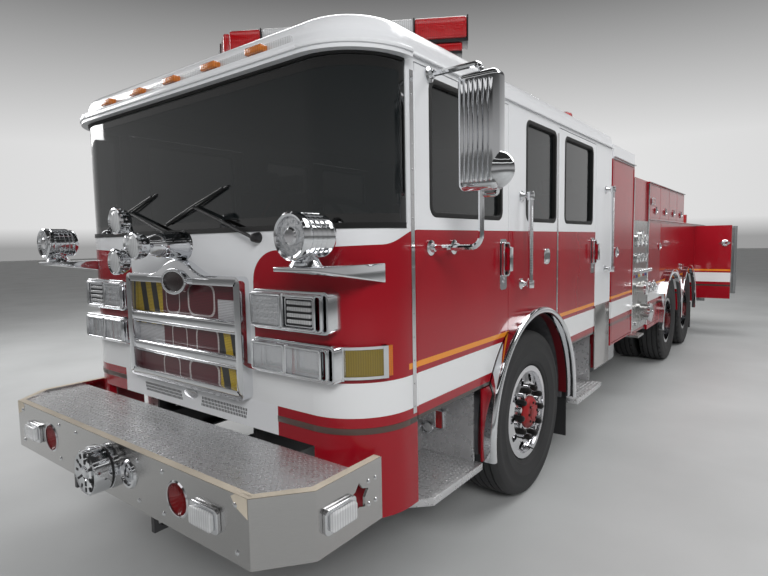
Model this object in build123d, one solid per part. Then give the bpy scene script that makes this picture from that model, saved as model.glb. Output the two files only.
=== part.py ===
from build123d import *
import os
from math import cos, radians, sin, sqrt

# Fire engine: tilting custom cab, midship pump, compartment body and tandem rear axle.
# Sizes are millimetres. Stations (y) are measured rearward from the front edge of the front
# doors, x is the vehicle's left and z is up from the ground. save() moves each piece so that
# the origin lies on the ground under the middle of the whole vehicle.

# Overall sizes
HALF = 1220                 # half width of cab and body
Y_FRONT = -945              # front face of the siren
Y_BUMPER = -830             # front face of the bumper
Y_NOSE = -360               # front skin of the cab
Y_CAB_END = 3152            # back of the cab
Y_FORE = 3200               # front of the tall equipment module
Y_PUMP = 4010               # front of the pump house
Y_BODY = 4760               # front of the rear body
Y_BODY_END = 9400           # back of the rear body
Y_TAIL = 9780               # back of the tailboard
Y_ORIGIN = (Y_FRONT + Y_TAIL) / 2

# Clearances
SEAM = 6                    # gap all round a door
FIT = 0.3                   # clearance of a piece seated on a curved skin or in a frame
RUNNING = 0.05              # radial clearance of a turning fit

# Cab shell
WALL = 45                   # doors and cab walls, as thick as the whole panel
PLATE = 12                  # plain plate work
R_CORNER = 300              # plan radius of the cab's front corners
Y_CORNER = Y_NOSE + R_CORNER
Z_SKIRT = 480               # lower edge of the corner skirts
Z_NOSE = 790                # lower edge of the front skin between the skirts
Z_FLOOR = 940               # underside of the cab floor
Z_SILL = 860                # bottom of the door openings
Z_BELT = 1745               # bottom of the windscreen
Z_GLASS_TOP = 2430          # top of the windscreen
Z_HEAD = 2442               # top of the door openings
Z_EAVES = 2470              # bottom of the roof
Z_ROOF = 2600               # top of the roof
DOOR_FRONT = (0, 970)       # stations of the front door opening
DOOR_CREW = (1805, 2682)    # stations of the crew door opening
WINDOW_Z = (1790, 2395)     # bottom and top of the side windows
WINDOW_R = 45
WINDOWS = {"front": (130, 880), "fixed": (1233, 1746), "crew": (1930, 2595)}
PANE = 6

# Axles and wheels
Y_STEER = 1346
Y_DRIVE = (6163, 7528)
TYRE_R = 538
HUB_Z = TYRE_R
STEER_X = 1062              # middle of a front tyre
KINGPIN_X = 900
STEER_W = 312
DUAL_W = 290
DUAL_X = (1073, 733)        # middles of the outer and inner rear tyres
RIM_R = 286
WELL_R = 668                # front wheel housing
CROWN_R = 700               # outside of the polished wheel crowns
REAR_WELL_R = 640
DOOR_ARCH_R = {"front": CROWN_R + 8, "crew": CROWN_R + 45}   # the doors swing clear of the crown

# Chassis rails
RAIL_X = 432                # outer face of each rail
RAIL_W = 85
WEB = 10                    # thickness of the rails' plate
RAIL_Z = (660, 920)
NOSE_RAIL_Z = (530, 690)    # dropped front extension
RAIL_END = Y_BODY_END

# Cab tilt
PIVOT = (-250, 800)         # station and height of the tilt axis
PIVOT_R = 25
LUG_R = 45


def block(x0, x1, y0, y1, z0, z1):
    middle = Pos((x0 + x1) / 2, (y0 + y1) / 2, (z0 + z1) / 2)
    return middle * Box(x1 - x0, y1 - y0, z1 - z0)


def slab_x(points, x0, x1):
    """A plate with its outline given as (y, z), from x0 to x1."""
    face = Face(Wire.make_polygon([(x0, y, z) for y, z in points], close=True))
    return Part() + extrude(face, amount=x1 - x0, dir=(1, 0, 0))


def slab_y(points, y0, y1):
    """A plate with its outline given as (x, z), from y0 to y1."""
    face = Face(Wire.make_polygon([(x, y0, z) for x, z in points], close=True))
    return Part() + extrude(face, amount=y1 - y0, dir=(0, 1, 0))


def slab_z(points, z0, z1):
    """A plate with its outline given as (x, y), from z0 to z1."""
    face = Face(Wire.make_polygon([(x, y, z0) for x, y in points], close=True))
    return Part() + extrude(face, amount=z1 - z0, dir=(0, 0, 1))


# Rods stand on their start point
ON_BASE = (Align.CENTER, Align.CENTER, Align.MIN)


def rod_x(y, z, x0, x1, r):
    return Pos(x0, y, z) * Rot(0, 90, 0) * Cylinder(r, x1 - x0, align=ON_BASE)


def rod_y(x, z, y0, y1, r):
    return Pos(x, y0, z) * Rot(-90, 0, 0) * Cylinder(r, y1 - y0, align=ON_BASE)


def rod_z(x, y, z0, z1, r):
    return Pos(x, y, z0) * Cylinder(r, z1 - z0, align=ON_BASE)


def pad_y(x, z, w, h, r, y0, y1):
    """A plate with rounded corners that faces forward."""
    face = (Pos(x, y0, z) * Rot(90, 0, 0) * RectangleRounded(w, h, r)).face()
    return Part() + extrude(face, amount=y1 - y0, dir=(0, 1, 0))


def pad_x(y, z, w, h, r, x0, x1):
    """A plate with rounded corners that faces sideways."""
    plane = Plane(origin=(x0, y, z), x_dir=(0, 1, 0), z_dir=(1, 0, 0))
    face = (plane * RectangleRounded(w, h, r)).face()
    return Part() + extrude(face, amount=x1 - x0, dir=(1, 0, 0))


def pipe(points, bend, r):
    path = FilletPolyline(*points, radius=bend)
    section = Plane(path @ 0, z_dir=path % 0) * Circle(r)
    return Part() + sweep(section, path=path)


def turned(profile):
    """A solid of revolution about X from (x, r) points."""
    face = Face(Wire.make_polygon([(x, 0, r) for x, r in profile], close=True))
    return Part() + revolve(face, Axis.X, 360)


def flip(shape):
    return mirror(shape, about=Plane.YZ)


def both(shape):
    return [shape, flip(shape)]


def save(name, *pieces):
    solids = [solid for piece in pieces for solid in piece.solids()]
    shape = Pos(0, -Y_ORIGIN, 0) * Compound(solids)
    export_step(shape, f"parts/{name}.step")


def nose_face(inset, back, z):
    """Plan of the cab nose at a distance inside its skin, closed by a straight line at back."""
    half, r = HALF - inset, R_CORNER - inset
    cx, front = HALF - R_CORNER, Y_CORNER - r
    k = r * sqrt(0.5)
    edges = [
        Edge.make_three_point_arc((-half, Y_CORNER, z), (-cx - k, Y_CORNER - k, z), (-cx, front, z)),
        Edge.make_line((-cx, front, z), (cx, front, z)),
        Edge.make_three_point_arc((cx, front, z), (cx + k, Y_CORNER - k, z), (half, Y_CORNER, z)),
    ]
    if back > Y_CORNER:
        edges.append(Edge.make_line((half, Y_CORNER, z), (half, back, z)))
        edges.insert(0, Edge.make_line((-half, back, z), (-half, Y_CORNER, z)))
    edges.append(Edge.make_line((half, back, z), (-half, back, z)))
    return Face(Wire(edges))


def nose_solid(inset, back, z0, z1):
    return Part() + extrude(nose_face(inset, back, z0), amount=z1 - z0, dir=(0, 0, 1))


def nose_band(outer, inner, z0, z1, back=Y_CORNER):
    """A wall that follows the front skin, between two distances inside it."""
    return nose_solid(outer, back, z0, z1) - nose_solid(inner, back + 1, z0, z1)


# Chassis frame: two channel rails with a dropped front extension, cross members,
# cab tilt brackets with their pins, tow eyes and the posts under the bumper deck
DECK_Z = 752                # underside of the bumper deck
DECK_T = 12
Y_DECK_END = -400
BUMPER_T = 12
TOW_EYE = {"x": 375, "y": -770, "z": 470, "r": 25, "plate": 24}
PAD_TOP = Z_FLOOR - FIT


def rail_profile(inset):
    low, high = NOSE_RAIL_Z[0] + inset, NOSE_RAIL_Z[1] - inset
    start, end = Y_BUMPER + BUMPER_T, RAIL_END
    return [(start, low), (150, low), (480, RAIL_Z[0] + inset), (end, RAIL_Z[0] + inset),
            (end, RAIL_Z[1] - inset), (420, RAIL_Z[1] - inset), (90, high), (start, high)]


def chassis_frame():
    rail = slab_x(rail_profile(0), RAIL_X - RAIL_W, RAIL_X)
    rail -= slab_x(rail_profile(WEB), RAIL_X - RAIL_W - 1, RAIL_X - WEB)
    rail += block(RAIL_X - RAIL_W, RAIL_X, Y_BUMPER + BUMPER_T, -450, NOSE_RAIL_Z[1], DECK_Z)
    bracket = slab_x([(PIVOT[0] - 60, 560), (PIVOT[0] + 60, 560), (PIVOT[0] + LUG_R, PIVOT[1] + 20),
                      (PIVOT[0] - LUG_R, PIVOT[1] + 20)], RAIL_X, RAIL_X + 20)
    pin = rod_x(PIVOT[0], PIVOT[1], RAIL_X, RAIL_X + 110, PIVOT_R)
    eye = slab_x([(TOW_EYE["y"] - 45, TOW_EYE["z"] - 45), (TOW_EYE["y"] + 45, TOW_EYE["z"] - 45),
                  (TOW_EYE["y"] + 70, NOSE_RAIL_Z[0]), (TOW_EYE["y"] - 45, NOSE_RAIL_Z[0])],
                 TOW_EYE["x"] - TOW_EYE["plate"] / 2, TOW_EYE["x"] + TOW_EYE["plate"] / 2)
    eye -= rod_x(TOW_EYE["y"], TOW_EYE["z"], 0, HALF, TOW_EYE["r"])
    rest = block(RAIL_X - RAIL_W, RAIL_X, 2850, 2950, RAIL_Z[1], PAD_TOP)
    side = rail + bracket + pin + eye + rest
    frame = side + flip(side)
    inner = RAIL_X - WEB
    for y, z in ((-600, 610), (260, 600), (2760, 830), (3900, 830), (5500, 790), (6845, 790),
                 (8200, 790), (9330, 790)):
        frame += rod_x(y, z, -inner, inner, 45)
    return frame


# Front bumper: a folded stainless shell with a top flange, open to the rear
BUMPER_Z = (509, 776)
BUMPER_PLAN = [(HALF - 162, Y_BUMPER), (HALF - 12, -646), (HALF - 12, -257)]
HORN = {"x": 605, "z": 648, "r": 68}
BUMPER_LAMP = {"x": 806, "z": 642, "w": 176, "h": 96}
SIDE_LAMP = {"y": -528, "z": 640, "w": 176, "h": 96}
SIREN = {"x": 45, "z": 655, "r": 104}
STAR = {"y": -405, "z": 655, "r": 62}


def bumper_outline(inset, back):
    (x1, y1), (x2, y2), (x3, y3) = BUMPER_PLAN
    slope = inset * 0.43
    right = [(x1 - slope, y1 + inset), (x2 - inset, y2 + slope * 0.6), (x3 - inset, back)]
    left = [(-x, y) for x, y in reversed(right)]
    return right + left


def front_bumper():
    back = BUMPER_PLAN[2][1]
    low, high = BUMPER_Z
    shell = slab_z(bumper_outline(0, back), low, high)
    shell -= slab_z(bumper_outline(BUMPER_T, back + 1), low - 1, high - BUMPER_T)
    lip = 38
    shell -= slab_z(bumper_outline(lip, back + 1), low, high + 1)
    for side in (-1, 1):
        shell -= rod_y(side * HORN["x"], HORN["z"], Y_BUMPER - 1, Y_BUMPER + 50, HORN["r"] + 2)
        shell -= pad_y(side * BUMPER_LAMP["x"], BUMPER_LAMP["z"], BUMPER_LAMP["w"] - 30,
                       BUMPER_LAMP["h"] - 30, 10, Y_BUMPER - 1, Y_BUMPER + 50)
    shell -= rod_y(SIREN["x"], SIREN["z"], Y_BUMPER - 1, Y_BUMPER + 50, SIREN["r"] + 2)
    points = []
    for i in range(10):
        reach = STAR["r"] if i % 2 == 0 else STAR["r"] * 0.62
        angle = radians(90 + i * 36)
        points.append((STAR["y"] + reach * cos(angle), STAR["z"] + reach * sin(angle)))
    shell -= slab_x(points, -HALF, HALF)
    return shell


def bumper_deck():
    """Tread plate tray under the bumper's top flange, with a folded rear edge."""
    (x1, y1), (x2, y2), _ = BUMPER_PLAN
    gap = BUMPER_T + FIT
    right = [(x1 - gap, y1 + gap), (x2 - gap, y2 + gap * 0.3), (x2 - gap, Y_DECK_END)]
    plate = slab_z(right + [(-x, y) for x, y in reversed(right)], DECK_Z, DECK_Z + DECK_T)
    inner = RAIL_X + 30
    return plate + block(-inner, inner, Y_DECK_END - 8, Y_DECK_END, NOSE_RAIL_Z[1] + 12, DECK_Z)


def bumper_fittings():
    """Siren, two trumpet horns and the bumper lamps, each flanged on the bumper's skin."""
    pieces = []
    x, z, r = SIREN["x"], SIREN["z"], SIREN["r"]
    inner = Y_BUMPER + BUMPER_T
    drum = rod_y(x, z, Y_FRONT + 24, inner, r) + rod_y(x, z, inner, -665, r - 20)
    drum += rod_y(x, z, Y_BUMPER - 14, Y_BUMPER, r + 6)
    drum += rod_y(x, z, Y_FRONT + 8, Y_FRONT + 24, r - 8)
    for i in range(12):
        angle = radians(i * 30)
        drum += rod_y(x + 74 * cos(angle), z + 74 * sin(angle), Y_FRONT, Y_FRONT + 10, 14)
    drum += rod_y(x, z, Y_FRONT, Y_FRONT + 10, 38)
    pieces.append(drum)
    for side in (-1, 1):
        hx = side * HORN["x"]
        bell = Pos(hx, Y_BUMPER - 6, HORN["z"]) * Rot(-90, 0, 0) * Cone(
            HORN["r"], 22, 150, align=ON_BASE)
        bell += rod_y(hx, HORN["z"], Y_BUMPER - 6, Y_BUMPER, HORN["r"] + 12)
        bell -= Pos(hx, Y_BUMPER - 7, HORN["z"]) * Rot(-90, 0, 0) * Cone(
            HORN["r"] - 5, 14, 140, align=ON_BASE)
        bell += rod_y(hx, HORN["z"], Y_BUMPER + 140, Y_BUMPER + 260, 24)
        pieces.append(bell)
        pieces.append(pad_y(side * BUMPER_LAMP["x"], BUMPER_LAMP["z"], BUMPER_LAMP["w"],
                            BUMPER_LAMP["h"], 16, Y_BUMPER - 26, Y_BUMPER))
        face = BUMPER_PLAN[1][0]
        x0, x1 = sorted((side * face, side * (face + 26)))
        pieces.append(pad_x(SIDE_LAMP["y"], SIDE_LAMP["z"], SIDE_LAMP["w"], SIDE_LAMP["h"], 16, x0, x1))
    return pieces


# Power train: plain engine block in the tunnel, gearbox, drive shaft and midship pump
ENGINE = {"y": (470, 1740), "x": 330, "z": (600, 1310)}


def powertrain():
    low, high = ENGINE["z"]
    y0, y1 = ENGINE["y"]
    inner = RAIL_X - RAIL_W - 2
    engine = block(-ENGINE["x"], ENGINE["x"], y0, y1, low, high)
    engine += block(-inner, inner, 40, 120, 700, 1330) + rod_y(0, 900, 120, y0, 60)
    engine += rod_y(0, 740, y1, 2500, 190) + rod_y(0, 700, 2500, 2640, 110)
    engine += rod_y(0, 700, 2640, 4180, 50)
    engine += rod_x(4400, 700, -250, 250, 200) + rod_y(0, 700, 4180, 4250, 80)
    for y in (640, 1600):
        engine += block(-RAIL_X + WEB, RAIL_X - WEB, y - 40, y + 40, 760, 840)
    return engine


# Front axle: dropped beam with king pin eyes, on two leaf springs under the rails
EYE_R = 45
SPRING_X = RAIL_X - RAIL_W / 2
SPRING_W = 80


def front_axle():
    half = 60
    beam = slab_y([(-KINGPIN_X, HUB_Z + half), (-KINGPIN_X, HUB_Z - half), (-790, HUB_Z - half), (-670, 440),
                   (670, 440), (790, HUB_Z - half), (KINGPIN_X, HUB_Z - half), (KINGPIN_X, HUB_Z + half),
                   (770, HUB_Z + half), (650, 530), (-650, 530), (-770, HUB_Z + half)],
                  Y_STEER - 44, Y_STEER + 44)
    for side in (-1, 1):
        x = side * KINGPIN_X
        beam -= block(x - 200 if side < 0 else x, x if side < 0 else x + 200, 1000, 1700, 0, 1000)
        beam += rod_z(x, Y_STEER, HUB_Z - half, HUB_Z + half, EYE_R)
        beam -= rod_z(x, Y_STEER, 0, 1200, KINGPIN_R + RUNNING)
        sx = side * SPRING_X
        x0, x1 = sx - SPRING_W / 2, sx + SPRING_W / 2
        beam += block(x0, x1, Y_STEER - 70, Y_STEER + 70, HUB_Z - 38, HUB_Z + 72)
        eye, low = HUB_Z + 108, HUB_Z + 58
        beam += slab_x([(Y_STEER - 620, RAIL_Z[0]), (Y_STEER - 620, eye), (Y_STEER - 160, low),
                        (Y_STEER + 160, low), (Y_STEER + 620, eye), (Y_STEER + 620, RAIL_Z[0])], x0, x1)
    return beam


# Steering knuckles: two prongs and a king pin round each eye, a web, the spindle and the steering arm
KINGPIN_R = 22
SPINDLE_R = 45
HUB_BORE = SPINDLE_R + RUNNING
SPINDLE_X = (985, 1188)
ARM = {"reach": 190, "pin": 12, "eye": 26}   # straight back, so that the tie rod stays parallel


def knuckle():
    """The left knuckle; the right one is its mirror image."""
    x, y = KINGPIN_X, Y_STEER
    low, high = HUB_Z - 60, HUB_Z + 60
    upper = rod_z(x, y, high + 2, high + 40, EYE_R)
    upper += block(x, 985, y - EYE_R, y + EYE_R, high + 2, high + 40)
    lower = rod_z(x, y, low - 42, low - 2, EYE_R) + block(x, 985, y - EYE_R, y + EYE_R, low - 42, low - 2)
    web = block(x + EYE_R + 4, 985, y - EYE_R, y + EYE_R, low - 42, high + 40)
    body = upper + lower + web + rod_z(x, y, low - 42, high + 40, KINGPIN_R)
    body += rod_x(y, HUB_Z, 985, SPINDLE_X[1], SPINDLE_R)
    body += rod_x(y, HUB_Z, 950, 985, 70)
    eye, back = ARM["eye"], y + ARM["reach"]
    arm = slab_z([(x - 30, y), (x + 30, y), (x + eye, back), (x - eye, back)], low - 42, low - 12)
    arm += rod_z(x, back, low - 42, low - 12, eye)
    arm += rod_z(x, back, low - 100, low - 42, ARM["pin"])
    return body + arm


def tie_rod():
    """A tube between two eyes, one on each steering arm's pin."""
    x, y = KINGPIN_X, Y_STEER + ARM["reach"]
    z0, z1 = HUB_Z - 60 - 90, HUB_Z - 60 - 50
    rod = rod_x(y, (z0 + z1) / 2, -x, x, 18)
    for side in (-1, 1):
        rod += rod_z(side * x, y, z0, z1, ARM["eye"])
        clearance = RUNNING if side > 0 else 0.3
        rod -= rod_z(side * x, y, z0 - 1, z1 + 1, ARM["pin"] + clearance)
    return rod


# Rear axles: two housings with differentials, spring beams and the rear drive shafts
REAR_SPINDLE_R = 50
REAR_BORE = REAR_SPINDLE_R + RUNNING


def rear_axles():
    total = Part()
    for y in Y_DRIVE:
        total += rod_x(y, HUB_Z, -560, 560, 65) + rod_x(y, HUB_Z, -1000, 1000, REAR_SPINDLE_R)
        total += Pos(0, y, HUB_Z) * Sphere(195)
        total += rod_y(0, HUB_Z + 60, y - 360, y, 75)
        for side in (-1, 1):
            sx = side * SPRING_X
            total += block(sx - SPRING_W / 2, sx + SPRING_W / 2, y - 90, y + 90, HUB_Z, HUB_Z + 74)
            total += rod_x(y, HUB_Z, *sorted((side * 545, side * 560)), 180)
    middle = sum(Y_DRIVE) / 2
    for side in (-1, 1):
        sx = side * SPRING_X
        low = HUB_Z + 66
        total += slab_x([(Y_DRIVE[0] - 200, low), (Y_DRIVE[1] + 200, low), (middle + 350, RAIL_Z[0]),
                         (middle - 350, RAIL_Z[0])], sx - SPRING_W / 2, sx + SPRING_W / 2)
    total += rod_y(0, HUB_Z + 60, Y_DRIVE[0], Y_DRIVE[1] - 360, 45)
    total += rod_y(0, HUB_Z + 60, 4700, Y_DRIVE[0] - 360, 50)
    return total


# Wheels: the profiles are (x from the tyre's middle, radius)
LIP_R = 303
SEAT_SHARE = 0.37           # half the bead seat as a share of the tyre's width
LUG_HOLES = 10


def tyre(x, y, width):
    """A plain carcass: straight beads, bulged side walls and a crowned tread."""
    half = width / 2
    bead = width * SEAT_SHARE - FIT
    side = [(bead, RIM_R + FIT), (bead, LIP_R + 4), (half * 0.9, 335), (half, 400), (half * 0.98, 470),
            (half * 0.88, 518), (half * 0.7, TYRE_R - 2), (half * 0.3, TYRE_R)]
    return Pos(x, y, HUB_Z) * turned(side + [(-px, r) for px, r in reversed(side)])


def barrel(middle, width):
    """Rim barrel with a drop centre, as (x, radius) points."""
    seat = width * SEAT_SHARE
    return [(middle - seat - 12, 270), (middle - seat - 12, LIP_R), (middle - seat, LIP_R),
            (middle - seat, RIM_R), (middle + seat, RIM_R), (middle + seat, LIP_R),
            (middle + seat + 12, LIP_R), (middle + seat + 12, 270)]


def hand_holes(shape, x0, x1, r, place):
    for i in range(LUG_HOLES):
        angle = radians(i * 360 / LUG_HOLES)
        shape -= rod_x(place * cos(angle), place * sin(angle), x0, x1, r)
    return shape


def steer_wheel():
    """Left front wheel: convex disc outboard, hub and brake drum, bored for the spindle."""
    inner = KINGPIN_X + 62 - STEER_X
    shape = turned(barrel(0, STEER_W))
    shape += turned([(96, 60), (96, 200), (78, 271), (98, 271), (118, 200), (118, 60)])
    shape = hand_holes(shape, 60, 140, 27, 222)
    shape += turned([(inner, 200), (inner, 213), (96, 213), (96, HUB_BORE), (78, HUB_BORE), (78, 200)])
    shape += turned([(78, HUB_BORE), (78, 118), (132, 118), (132, 92), (156, 80), (156, 0), (140, 0),
                     (140, HUB_BORE)])
    for i in range(LUG_HOLES):
        angle = radians((i + 0.5) * 360 / LUG_HOLES)
        shape += rod_x(160 * cos(angle), 160 * sin(angle), 116, 146, 15)
    return Pos(STEER_X, Y_STEER, HUB_Z) * shape


def dual_wheel(y):
    """Left rear wheels: two barrels on touching discs, hub and brake drum."""
    disc = (DUAL_X[0] + DUAL_X[1]) / 2
    shape = turned(barrel(DUAL_X[0], DUAL_W)) + turned(barrel(DUAL_X[1], DUAL_W))
    flank = 58
    shape += turned([(disc - 12, 60), (disc - 12, 205), (disc - flank, 271), (disc - flank + 16, 275),
                     (disc, 222), (disc + flank - 16, 275), (disc + flank, 271), (disc + 12, 205),
                     (disc + 12, 60)])
    shape = hand_holes(shape, disc - 80, disc + 80, 27, 195)
    shape += turned([(600, 198), (600, 212), (disc - 12, 212), (disc - 12, REAR_BORE),
                     (disc - 30, REAR_BORE), (disc - 30, 198)])
    shape += turned([(disc - 30, REAR_BORE), (disc - 30, 120), (disc + 60, 120), (disc + 140, 100),
                     (1120, 92), (1120, 0), (1010, 0), (1010, REAR_BORE)])
    for i in range(LUG_HOLES):
        angle = radians((i + 0.5) * 360 / LUG_HOLES)
        shape += rod_x(160 * cos(angle), 160 * sin(angle), disc + 10, disc + 40, 15)
    return Pos(0, y, HUB_Z) * shape


# Tanks under the frame: fuel on the left, air on the right, and the silencer
def chassis_tanks():
    left = pad_y(RAIL_X + 340, 520, 600, 270, 60, Y_FORE + 60, Y_FORE + 720)
    left += block(RAIL_X, RAIL_X + 80, Y_FORE + 100, Y_FORE + 160, 560, RAIL_Z[0] + 12)
    left += block(RAIL_X, RAIL_X + 80, Y_FORE + 600, Y_FORE + 660, 560, RAIL_Z[0] + 12)
    right = rod_y(-RAIL_X - 190, 500, Y_FORE + 60, Y_FORE + 720, 130)
    right += block(-RAIL_X - 190, -RAIL_X, Y_FORE + 200, Y_FORE + 260, 560, RAIL_Z[0] + 12)
    silencer = rod_y(-RAIL_X - 190, 545, 2150, 3050, 120)
    silencer += block(-RAIL_X - 190, -RAIL_X, 2500, 2560, 640, 720)
    silencer += rod_x(2960, 545, -1170, -RAIL_X - 190, 50)
    return [left, right, silencer]


# Full-length hinge barrels: each turns in a groove in the edge of the panel that carries it
HINGE_R = 5


def barrel_at(y, z0, z1, x0, x1, reach):
    """A left hinge barrel with the strip that joins it to its leaf, across x0 to x1."""
    strip = block(HALF + x0, HALF + x1, *sorted((y + reach * 2, y + reach * 9)), z0, z1)
    return rod_z(HALF, y, z0, z1, HINGE_R) + strip


def groove_at(y, z0, z1):
    return rod_z(HALF, y, z0 - 1, z1 + 1, HINGE_R + RUNNING)


# Cab nose: curved front skin with its grille opening, a thin valance and the corner skirts
GRILLE = {"half": 518, "z": (930, 1520), "open": 470, "y": -417}


def cab_front():
    skin = nose_band(0, WALL, Z_FLOOR, Z_BELT)
    skin += nose_band(0, PLATE, Z_NOSE, Z_FLOOR)
    skirt = nose_band(0, WALL, Z_SKIRT, Z_NOSE)
    skirt -= block(-920, 920, Y_NOSE - 1, 0, 0, Z_NOSE)
    skin += skirt
    skin -= pad_y(0, (GRILLE["z"][0] + GRILLE["z"][1]) / 2, 2 * GRILLE["open"],
                  GRILLE["z"][1] - GRILLE["z"][0] - 90, 20, Y_NOSE - 10, Y_NOSE + 100)
    return skin


# Cab sides: pillars, fixed window panels and a header over the doors
def arch(r, x0, x1):
    return rod_x(Y_STEER, HUB_Z, x0, x1, r)


def window(name, x0, x1, inset=0):
    y0, y1 = WINDOWS[name]
    z0, z1 = WINDOW_Z
    return pad_x((y0 + y1) / 2, (z0 + z1) / 2, y1 - y0 - 2 * inset, z1 - z0 - 2 * inset,
                 WINDOW_R - inset, x0, x1)


HINGE_LOW = {"front": 900, "crew": 1145}
HINGE_TOP = 2400


def cab_side():
    """The left side; the right one is its mirror image."""
    x0, x1 = HALF - WALL, HALF
    side = block(x0, x1, Y_CORNER, Y_CAB_END, Z_SKIRT + 70, Z_EAVES)
    side += block(x0, x1, Y_CORNER, 0, Z_SKIRT, Z_EAVES)
    side -= block(x0 - 1, x1 + 1, DOOR_FRONT[0], DOOR_FRONT[1], 0, Z_HEAD)
    side -= block(x0 - 1, x1 + 1, DOOR_CREW[0], DOOR_CREW[1], Z_SILL, Z_HEAD)
    side -= block(x0 - 1, x1 + 1, 0, CREW_STEP["y"][1], 0, Z_SILL)
    corner = block(x0, x1, DOOR_CREW[0] - 1, Y_STEER + DOOR_ARCH_R["crew"], Z_SILL, HINGE_LOW["crew"])
    side += corner & arch(DOOR_ARCH_R["crew"] - SEAM, x0, x1)
    side -= arch(WELL_R, x0 - 1, x1 + 1)
    side -= window("fixed", x0 - 1, x1 + 1)
    for y, low in ((DOOR_FRONT[0], HINGE_LOW["front"]), (DOOR_CREW[0], HINGE_LOW["crew"])):
        side -= groove_at(y, low, HINGE_TOP)
    return side


CREW_STEP = {"y": (2120, 2760), "z": (400, 440), "x": (HALF - 340, HALF + 50)}
FRONT_STEP = {"y": (24, 640), "z": (400, 440), "x": (HALF - 400, HALF)}


def door(span, name):
    """A left door with its window cut, notched round the wheel crown, and its handle."""
    x0, x1 = HALF - WALL, HALF
    leaf = block(x0, x1, span[0] + SEAM, span[1] - SEAM, Z_SILL + SEAM, Z_HEAD - SEAM)
    leaf -= arch(DOOR_ARCH_R[name], x0 - 1, x1 + 1)
    leaf -= window(name, x0 - 1, x1 + 1)
    y, z = span[1] - 75, 1560
    leaf += pad_x(y, z, 62, 150, 20, x1, x1 + 10)
    handle = block(x1 + 10, x1 + 46, y - 12, y + 12, z + 40, z + 62)
    handle += block(x1 + 10, x1 + 46, y - 12, y + 12, z - 62, z - 40)
    handle += block(x1 + 30, x1 + 46, y - 12, y + 12, z - 62, z + 62)
    return leaf + handle + barrel_at(span[0], HINGE_LOW[name], HINGE_TOP, -9, -2, 1)


def door_pane(name):
    middle = HALF - WALL / 2
    return window(name, middle - PANE / 2, middle + PANE / 2, FIT)


def cab_rear_wall():
    return block(-HALF + WALL, HALF - WALL, Y_CAB_END - WALL, Y_CAB_END, Z_FLOOR, Z_EAVES)


# Roof: header over the windscreen, thin lamp visor, rounded top, hollow underneath
def cab_roof():
    shell = nose_solid(0, Y_CAB_END, Z_EAVES, Z_ROOF)
    top = shell.faces().sort_by(Axis.Z)[-1]
    shell = fillet(top.edges(), 85)
    shell -= nose_solid(WALL, Y_CAB_END - WALL, Z_EAVES - 1, Z_ROOF - WALL)
    shell += nose_band(0, WALL, Z_GLASS_TOP, Z_EAVES)
    visor = nose_solid(-40, Y_CORNER, Z_GLASS_TOP + 5, Z_EAVES + 15) - nose_solid(1, Y_CORNER + 1, 0, 3000)
    shell += visor
    for i in range(5):
        x = (i - 2) * 330
        shell += pad_y(x, Z_EAVES + 34, 110, 36, 8, Y_NOSE - 12, Y_NOSE + 20)
    return shell


# Floor: flat panel with the engine tunnel and the front wheel housings raised through it
TUNNEL = {"half": 440, "top": 1400, "end": 1950, "sheet": 30}
HOUSING_X = 500


def cab_floor():
    x1 = HALF - WALL
    y0, y1 = Y_NOSE + WALL, Y_CAB_END - WALL
    sheet = TUNNEL["sheet"]
    panel = nose_solid(WALL + FIT, y1, Z_FLOOR, Z_FLOOR + WALL)
    wide = TUNNEL["half"] + sheet
    tunnel = block(-wide, wide, y0, TUNNEL["end"] + sheet, Z_FLOOR, TUNNEL["top"] + sheet)
    housings = Part()
    for side in (-1, 1):
        inner, outer = sorted((side * (HOUSING_X - sheet), side * x1))
        housings += arch(WELL_R + 22, inner, outer) - block(-HALF, HALF, 0, 3000, -HALF, 470)
    housings -= block(-HOUSING_X, HOUSING_X, Y_STEER - 110, Y_STEER + 110, 0, 650)
    panel += tunnel + housings
    panel -= block(-TUNNEL["half"], TUNNEL["half"], y0 - 1, TUNNEL["end"], 0, TUNNEL["top"])
    for side in (-1, 1):
        inner, outer = sorted((side * HOUSING_X, side * (x1 + 1)))
        panel -= arch(WELL_R, inner, outer)
    for side in (-1, 1):
        x0, x1_lug = sorted((side * (RAIL_X + 32), side * (RAIL_X + 72)))
        lug = rod_x(PIVOT[0], PIVOT[1], x0, x1_lug, LUG_R)
        lug += block(x0, x1_lug, PIVOT[0] - LUG_R, PIVOT[0] + LUG_R, PIVOT[1], Z_FLOOR)
        panel += lug - rod_x(PIVOT[0], PIVOT[1], -HALF, HALF, PIVOT_R + RUNNING)
    return panel


def cab_glass():
    """Wrapped windscreen and the two fixed side panes."""
    screen = nose_band(6, 14, Z_BELT, Z_GLASS_TOP)
    pane = door_pane("fixed")
    return [screen, pane, flip(pane)]


# Grille: polished frame with three double bars, a blank oval and a perforated screen behind
BARS = (1110, 1280)
EMBLEM = {"z": 1485, "w": 190, "h": 112}


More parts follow.
